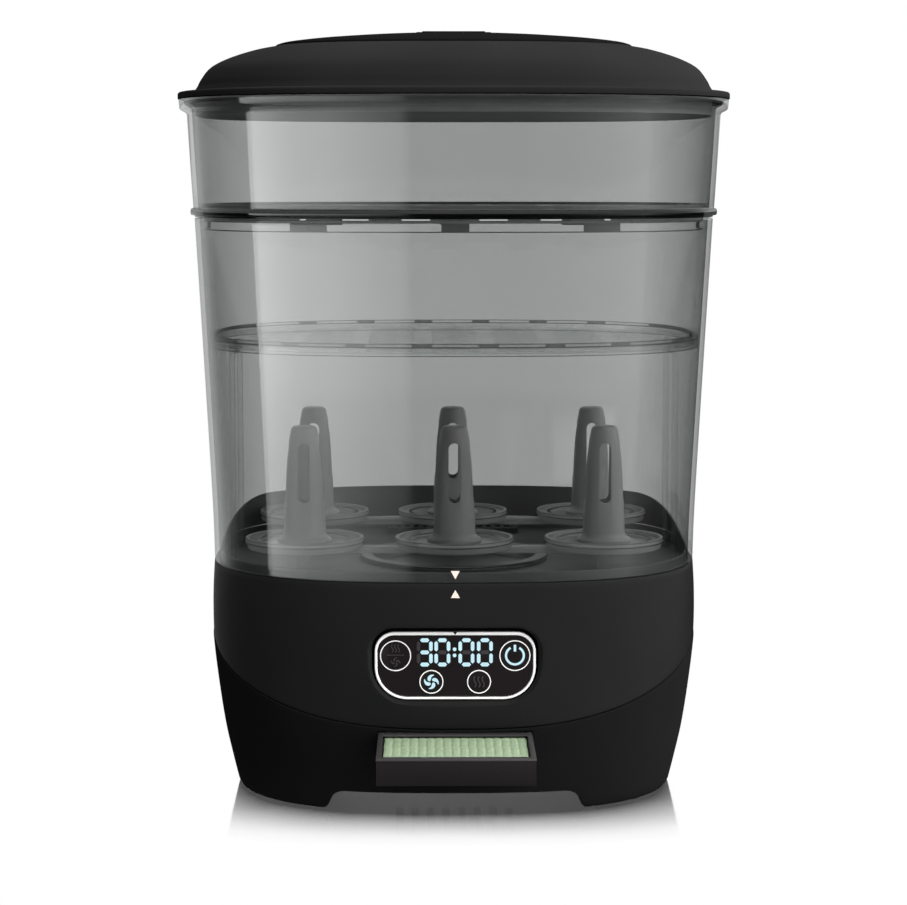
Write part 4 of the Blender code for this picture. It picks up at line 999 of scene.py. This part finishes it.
def splash_guard():
    """A thin curved wall along the back of the deck, inside the sleeve."""
    start_y = low("rear_splash_guard").y - AXIS_Y
    face, back = BASE_WALL + 0.0013, BASE_WALL + 0.0004
    start, end = -pi / 4, pi / 2
    for _ in range(30):
        half_way = (start + end) / 2
        if base_point(half_way, BASE_TOP, back).y < start_y:
            start = half_way
        else:
            end = half_way
    sections = []
    steps = 96
    foot_z = low("rear_splash_guard").z
    for step in range(steps + 1):
        angle = start + (pi - 2 * start) * step / steps
        outer = base_point(angle, BASE_TOP, back)
        inner = base_point(angle, BASE_TOP, face)
        rise = min(max((outer.y - start_y) / 0.100, 0.0), 1.0) ** 1.65
        top = foot_z + 0.0006 + (GUARD_TOP - foot_z + 0.0016) * rise * rise * (3 - 2 * rise)
        crest = (inner.x * 0.7 + outer.x * 0.3, inner.y * 0.7 + outer.y * 0.3, top)
        sections.append([Vector(point) for point in (
            (inner.x, inner.y, foot_z), (outer.x, outer.y, foot_z),
            (outer.x, outer.y, top - 0.0002), crest, (inner.x, inner.y, top - 0.0003))])
    guard = new_object("splash_guard", loft(sections, closed=False))
    finish(guard, DECK_BLACK, "base", "casing_black", "rear_splash_guard")


def outlet_grille():
    a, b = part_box("air_outlet_grille")
    grille = boxes("outlet_grille", [((a.x, a.y - AXIS_Y, a.z), (b.x, b.y - AXIS_Y, b.z))])
    y = middle("air_outlet_grille")[1]
    outlines = [slot_outline(-0.030 + 0.005 * step, y, 0.0014, 0.0068) for step in range(13)]
    cut(grille, outlines, 0.10, 0.14)
    bevel(grille, 0.4, 2, 40)
    finish(grille, INNER_BLACK, "base", "inner_black", "air_outlet_grille")


# ---------------------------------------------------------------- control panel
def ribbons(name, strokes, front, skin, body, slot="trim_white", thick=0.0002):
    """Flat marks on the panel. A stroke is (points, half widths, closed)."""
    def build(bm):
        for points, widths, closed in strokes:
            points = [Vector(point) for point in points]
            left, right = [], []
            count = len(points)
            for index, point in enumerate(points):
                before = points[index - 1] if closed or index else point
                after = points[(index + 1) % count] if closed or index < count - 1 else point
                along = (after - before).normalized()
                across = Vector((-along.y, along.x)) * widths[index]
                left.append(point + across)
                right.append(point - across)
            rings = [[Vector((p.x, y, p.y)) for p in side] for side, y in (
                (left, front), (right, front), (right, front + thick), (left, front + thick))]
            if not closed:
                rings = [[side[index] for side in rings] for index in range(count)]
            loft(rings, closed)(bm)
    finish(new_object(name, build, 20), skin, body, slot)


def circle_points(x, z, radius, steps=64, start=0.0, end=360.0):
    count = steps if end - start >= 360 else steps + 1
    angles = [radians(start + (end - start) * step / steps) for step in range(count)]
    return [(x + radius * cos(angle), z + radius * sin(angle)) for angle in angles]


def circle_stroke(x, z, radius, half_width, steps):
    return circle_points(x, z, radius, steps), [half_width] * steps, True


def segment(x, z, length, thick, upright):
    half, tip = length / 2, thick * 0.42
    along = [-half, -half + tip, half - tip, half]
    points = [(x, z + a) if upright else (x + a, z) for a in along]
    return points, [0.00003, thick / 2, thick / 2, 0.00003], False


def digit_segments(x, z, lit_names):
    """Strokes of one seven-segment digit: the lit ones and the unlit ones."""
    wide, tall, thick = 5.95 * MM, 11.9 * MM, 1.9 * MM
    places = {
        "a": (0, tall / 2, False), "g": (0, 0, False), "d": (0, -tall / 2, False),
        "f": (-wide / 2, tall / 4, True), "b": (wide / 2, tall / 4, True),
        "e": (-wide / 2, -tall / 4, True), "c": (wide / 2, -tall / 4, True)}
    groups = {True: [], False: []}
    for name, (dx, dz, upright) in places.items():
        length = (4.95 if upright else 4.45) * MM
        groups[name in lit_names].append(
            segment(x + dx, z + dz, length, thick * (0.9 if upright else 1.0), upright))
    return groups


def wave(x, z, height, swing, half_width, steps=18):
    shares = [step / steps for step in range(steps + 1)]
    points = [(x + swing * sin(share * 2 * pi), z + height * (share - 0.5))
              for share in shares]
    return points, [half_width] * (steps + 1), False


def line(x0, z0, x1, z1, half_width):
    return [(x0, z0), (x1, z1)], [half_width] * 2, False


def fan_blades(x, z, radius, thick=0.19):
    """Four curved blades of the drying icon."""
    strokes = []
    for blade in range(4):
        points, widths = [], []
        for step in range(11):
            share = step / 10
            angle = radians(90 * blade + 142 - 72 * share ** 1.5)
            reach = radius * (0.20 + 0.76 * share)
            points.append((x + reach * cos(angle), z + reach * sin(angle)))
            widths.append(radius * (0.05 + thick * sin(pi * share ** 0.8)))
        strokes.append((points, widths, False))
    return strokes


KEY_RADIUS = {"key_steam_dry": 0.0075, "key_power": 0.0075, "key_dry": 0.0058,
              "key_steam": 0.0058}


def panel_key(node, skin, draw):
    """A round key cap with a printed ring, and the icon that draw(x, z) gives."""
    x, _, z = middle(node)
    radius = KEY_RADIUS[node]
    front, back = (corner.y - AXIS_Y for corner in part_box(node))
    shoulder = PANEL_Y + 0.002 + GAP
    profile = rounded([(0.0003, front), (radius, front, 0.0004), (radius, shoulder),
                       (radius + 0.0007, shoulder), (radius + 0.0007, back - 0.0006),
                       (0.0003, back - 0.0006)])
    rings = [[Vector((x + r * cos(angle), y, z + r * sin(angle)))
              for angle in turns(72)] for r, y in profile]
    finish(new_object(node + "_cap", loft(rings)), WINDOW, node, "window_black", node)
    face = front - PRINT_RISE
    ribbons(node + "_ring", [circle_stroke(x, z, radius - 0.00025, 0.00024, 96)], face,
            PRINT_WHITE, node)
    ribbons(node + "_icon", draw(x, z), face, skin, node)


def power_icon(x, z):
    arc = circle_points(x, z, 4.3 * MM, 48, 119, 421)
    return [(arc, [0.54 * MM] * 49, False), line(x, z + 2.0 * MM, x, z + 5.3 * MM, 0.6 * MM)]


def dry_icon(x, z):
    return fan_blades(x, z, 3.7 * MM)


def steam_icon(x, z):
    return [wave(x + shift * MM, z, 5.4 * MM, 0.5 * MM, 0.28 * MM) for shift in (-2.0, 0, 2.0)]


def steam_dry_icon(x, z):
    waves = [wave(x + shift * MM, z + 3.6 * MM, 3.8 * MM, 0.4 * MM, 0.22 * MM)
             for shift in (-1.5, 0, 1.5)]
    rule = line(x - 4.2 * MM, z + 0.3 * MM, x + 4.2 * MM, z + 0.3 * MM, 0.18 * MM)
    return [*waves, rule, *fan_blades(x, z - 3.1 * MM, 2.4 * MM, 0.10)]


def control_panel():
    front, back = (corner.y - AXIS_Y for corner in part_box("panel_ring"))
    sections = [(point.x, point.y, 0.2 * point.x) for point in rounded(
        [(0, back), (0, front, 0.0005), (-0.0013, front, 0.0005), (-0.0013, back)])]
    finish(panel_loft("panel_trim", sections, closed=True), TRIM, "base", "trim_white",
           "panel_ring")
    notch = PANEL_Z + PANEL_HALF_HEIGHT
    ribbons("panel_trim_notch", [([(0, notch + 0.0002), (0, notch - 0.0012)],
                                  [0.0011, 0.00005], False)],
            front - 0.00012, WINDOW, "base", "window_black", 0.0003)
    window_back = high("display_window").y - AXIS_Y
    sections = [(-0.0018, PANEL_Y, 0), (-0.0016, PANEL_Y + 0.0002, 0), (-0.0016, window_back, 0)]
    window = panel_loft("window_plate", sections, closed=False)
    holes = [circle_points(middle(node)[0], middle(node)[2], radius + 0.00025)
             for node, radius in KEY_RADIUS.items()]
    cut(window, holes, -0.11, -0.08, "y")
    finish(window, WINDOW, "base", "window_black", "display_window")
    display_digits()
    panel_key("key_power", GLOW, power_icon)
    panel_key("key_dry", GLOW, dry_icon)
    panel_key("key_steam", PRINT_DIM, steam_icon)
    panel_key("key_steam_dry", PRINT_DIM, steam_dry_icon)


def display_digits():
    """The time left, in seven-segment digits, with the unlit segments just visible."""
    z = PANEL_Z + 6.5 * MM
    dot = 0.9 * MM
    on = [circle_stroke(-0.3 * MM, z + side * 1.5 * MM, dot / 2, dot * 0.495, 24)
          for side in (-1, 1)]
    off = []
    for x, lit_names in ((-14.7, "abcdg"), (-6.2, "abcdef"), (5.4, "abcdef"), (14.3, "abcdef")):
        groups = digit_segments(x * MM, z, lit_names)
        on += groups[True]
        off += groups[False]
    ribbons("digits_lit", on, PANEL_Y - 0.00012, GLOW, "base")
    ribbons("digits_unlit", off, PANEL_Y - PRINT_RISE, PRINT_DIM, "base")


# ---------------------------------------------------------------- filter drawer
def drawer():
    a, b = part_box("filter_drawer")
    front, back = a.y - AXIS_Y, b.y - AXIS_Y
    wall = 0.0024
    body = boxes("drawer_tray", [((a.x, front, a.z), (b.x, back, b.z - 0.0006))])
    cut_boxes(body, [((a.x + wall, front + wall + 0.0004, a.z + 0.0018),
                      (b.x - wall, back - wall, b.z + 0.01))])
    pitch, half_x, half_y = 0.0164, 0.0068, 0.0102
    places = [(column * pitch, front + 0.0165 + 0.0235 * row)
              for column in (-1.5, -0.5, 0.5, 1.5) for row in range(3)]
    cut_boxes(body, [((x - half_x, y - half_y, a.z - 0.01),
                      (x + half_x, y + half_y, a.z + 0.01)) for x, y in places])
    bevel(body, 0.4, 2, 40)
    finish(body, DRAWER_BODY, "filter_drawer", "drawer_black", "filter_drawer")
    proud = 0.0002
    # The rim's lighter colour is a painted highlight.
    rim = boxes("drawer_rim_painted_highlight", [((a.x - proud, front - proud, b.z - 0.0007),
                                (b.x + proud, back, b.z))])
    cut_boxes(rim, [
        ((a.x + wall - proud, front + 0.0058, b.z - 0.01),
         (b.x - wall + proud, DRAWER_BAR - 0.0060, b.z + 0.01)),
        ((a.x + wall + proud, DRAWER_BAR, b.z - 0.01),
         (b.x - wall - proud, back - wall, b.z + 0.01))])
    bevel(rim, 0.25, 2, 40)
    finish(rim, DRAWER_RIM_PAINTED_HIGHLIGHT, "filter_drawer", "drawer_black")
    filter_media()


def filter_media():
    """Folded filter paper, its pleats drawn out along the drawer, with beads of glue."""
    a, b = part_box("filter_media")
    front, back = a.y - AXIS_Y, b.y - AXIS_Y
    pleats, steps = 17, 10
    thick = 0.0008
    top = b.z + 0.0008
    depth = 0.0003
    section = []
    count = pleats * steps
    for step in range(count + 1):
        x = a.x + 0.0002 + (b.x - a.x - 0.0004) * step / count
        phase = abs((step / steps) % 1.0 - 0.5) * 2
        section.append((x, top - depth * phase ** 3))
    rings = []
    for step in range(13):
        y = front + (back - front) * step / 12
        sway = 0.00012 * sin(step * 2.1)
        rings.append([Vector((x + sway, y, z)) for x, z in section]
                     + [Vector((x + sway, y, z - thick)) for x, z in reversed(section)])
    media = new_object("filter_pleats", loft(rings, closed=False), 60)
    finish(media, PAPER, "filter_drawer", "filter_green", "filter_media")
    rows = [front + (back - front) * share for share in (0.16, 0.38, 0.6, 0.82)]
    threads = boxes("filter_glue_beads", [((a.x + 0.0005, y - 0.0003, top - 0.0004),
                                           (b.x - 0.0005, y + 0.0003, top + 0.00004))
                                          for y in rows])
    finish(bevel(threads, 0.15, 1), PAPER, "filter_drawer", "filter_green")


# ---------------------------------------------------------------- pieces inside the base
INSIDE = {
    "heating_element": CAST, "thermostat": INNER_BLACK, "air_heater": CAST,
    "air_riser": INNER_BLACK, "blower_housing": INNER_BLACK, "blower_cover": INNER_BLACK,
    "fan_motor": CAST, "motor_shaft": SCREW_STEEL, "impeller": POST_GREY,
    "air_duct": INNER_BLACK, "filter_bay": INNER_BLACK, "power_board": BOARD,
    "panel_housing": INNER_BLACK, "control_board": BOARD, "display_module": TRIM}


def inside_pieces():
    """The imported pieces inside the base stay, with broken edges and their materials."""
    for node, skin in INSIDE.items():
        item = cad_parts[node]
        item.data.materials.clear()
        item.data.materials.append(skin)
        bevel_step(item, 0.25, 1, 50)


# ---------------------------------------------------------------- studio
BRIGHT = 8.0                   # radiance that the tables below are divided by
SIDE_LIGHT = [                 # mirrored: azimuth in degrees (0 front, + right), radiance
    (-180, 1.5), (-155, 1.1), (-130, 0.3), (-105, 0.05), (-76, 0.05), (-75, 4.9),
    (-44, 2.8), (-27, 2.3), (-8, 1.0), (-6, 0.9), (-5, 0.12), (10, 0.10), (24, 0.25),
    (67, 1.1), (68.5, 0.75), (85, 0.30), (110, 0.05), (150, 0.0), (180, 0.0)]
SIDE_HEIGHT = [(-1.0, 0.2), (-0.30, 0.40), (-0.26, 0.43), (-0.22, 0.48), (-0.16, 0.97),
               (-0.01, 1.0), (0.0, 0.0)]
TOP_LIGHT = [(0.0, 0.0), (0.005, 1.0), (0.45, 1.0), (0.60, 1.2), (1.0, 1.5)]
SOFT_SIDE = [                  # what matt surfaces see
    (-180, 4.0), (-140, 2.4), (-100, 0.10), (-30, 0.20), (0, 0.8), (40, 4.4), (75, 7.0),
    (110, 5.0), (150, 4.0), (180, 4.0)]
SOFT_HEIGHT = [(-1.0, 0.10), (-0.02, 0.40), (0.02, 0.65), (0.35, 0.9), (0.75, 1.3), (1.0, 1.3)]
FLOOR_FADE = [                 # distance from the foot in half widths, mirrored share
    (0.0, 0.93), (0.06, 0.81), (0.125, 0.68), (0.19, 0.55), (0.256, 0.43), (0.333, 0.29),
    (0.407, 0.17), (0.484, 0.08), (0.563, 0.035), (0.65, 0.0)]
CAMERA_REACH = 1.277           # from the axis
CAMERA_HEIGHT = 0.3084
CAMERA_TURN = radians(0.48)
CAMERA_DOWN = 6.28             # degrees below level
CAMERA_LENS = 98.4


def world_light():
    """White for the camera. Reflections see a dark studio with tall side panels and a wide
    overhead panel; matt surfaces are lit softly from above, from the right and from behind."""
    world = bpy.data.worlds.new("studio")
    bpy.context.scene.world = world
    world.use_nodes = True
    sky = Graph(world.node_tree)
    sky.tree.nodes.clear()
    x, y, z = sky.node("SeparateXYZ", {0: sky.node("TexCoord")["Generated"]})
    around = sky.math("ARCTAN2", x, sky.math("MULTIPLY", y, -1.0))
    turn = sky.math("ADD", sky.math("DIVIDE", around, 2 * pi), 0.5)
    rise = sky.math("ADD", sky.math("MULTIPLY", z, 0.5), 0.5)

    def by_side(table):
        return sky.ramp(turn, *[(0.5 + azimuth / 360, value / BRIGHT)
                                for azimuth, value in table])

    def by_height(table, scale):
        return sky.ramp(rise, *[(0.5 + 0.5 * height, value / scale) for height, value in table])

    overhead = sky.ramp(z, *[(height, value / BRIGHT) for height, value in TOP_LIGHT])
    mirrored = sky.math("ADD", sky.math("MULTIPLY", by_side(SIDE_LIGHT),
                                        by_height(SIDE_HEIGHT, 1)), overhead)
    soft = sky.math("MULTIPLY", sky.math("MULTIPLY", by_side(SOFT_SIDE),
                                         by_height(SOFT_HEIGHT, 2)), 2.0)
    ray = sky.node("LightPath")
    matt = ray["Is Diffuse Ray"]
    total = sky.math("ADD", sky.math("MULTIPLY", soft, matt),
                     sky.math("MULTIPLY", mirrored, sky.math("SUBTRACT", 1.0, matt)))
    studio = sky.node("Background", {"Color": total, "Strength": BRIGHT})[0]
    backdrop = sky.node("Background", {"Color": (1, 1, 1, 1)})[0]
    sky.node("OutputWorld", {"Surface": sky.mix(ray["Is Camera Ray"], studio, backdrop)})


def fill_light():
    """A wide lamp on the right that does not show in reflections."""
    place = Vector((1.3, -1.0, 0.7))
    data = bpy.data.lights.new("fill_right", "AREA")
    data.shape = "RECTANGLE"
    data.size, data.size_y = 0.9, 1.2
    data.energy = 3
    lamp = add_object("fill_right", data)
    lamp.location = place
    lamp.rotation_euler = (Vector((0, 0, 0.12)) - place).to_track_quat("-Z", "Y").to_euler()
    lamp.visible_glossy = False
    lamp.visible_camera = False


def floor():
    """A clear round floor that mirrors the foot of the object, fading with distance."""
    def build(bm):
        bmesh.ops.create_circle(bm, cap_ends=True, segments=96, radius=0.6)
    item = new_object("studio_floor", build)
    item.location.z = -GAP
    made = Nodes("floor_mirror")
    x, y, _ = made.node("SeparateXYZ", {0: made.place})
    half_width = BASE_PROFILE[0][1]

    def share(place, half):
        return made.math("POWER", made.math("ABSOLUTE", made.math("DIVIDE", place, half)), POWER)

    across = share(x, half_width)
    along = share(made.math("SUBTRACT", y, AXIS_Y), half_width * BASE_RATIO_BOTTOM)
    reach = made.math("POWER", made.math("ADD", across, along), 1 / POWER)
    uneven = made.range(made.noise(30, 3), -0.01, 0.01)
    fade = made.ramp(made.math("ADD", made.math("SUBTRACT", reach, 1.0), uneven), *FLOOR_FADE)
    clear = made.node("BsdfTransparent")[0]
    mirror = made.glossy(0.08, (1, 1, 1, 1))
    item.data.materials.append(made.surface(made.mix(fade, clear, mirror)))
    made.tree.nodes.remove(made.shader)


def camera():
    """Level with the lid's lower third, a little left of the middle, aimed at the axis."""
    data = bpy.data.cameras.new("camera")
    data.sensor_width = 36
    data.lens = CAMERA_LENS
    item = add_object("camera", data)
    item.location = (-CAMERA_REACH * sin(CAMERA_TURN),
                     AXIS_Y - CAMERA_REACH * cos(CAMERA_TURN), CAMERA_HEIGHT)
    item.rotation_euler = (radians(90 - CAMERA_DOWN), 0, -CAMERA_TURN)
    bpy.context.scene.camera = item


# ---------------------------------------------------------------- build
camera()
world_light()
fill_light()
floor()
bpy.context.scene.view_settings.view_transform = "Standard"
bpy.context.scene.cycles.transparent_max_bounces = 32

lid_dome()
lid_top()
lid_inside()
tier_body()
tier_floor()
sleeve_body()
nipple_rack()
bottle_rack()
upper_casing()
lower_casing()
bottom_parts()
power_inlet()
heating_deck()
control_panel()
drawer()
inside_pieces()
pointer("sleeve_pointer", 0.1222, -0.0039, -(0.1229 * RATIO), "main_sleeve")
pointer("base_pointer", 0.1092, 0.0039, -(0.1232 * RATIO), "base")
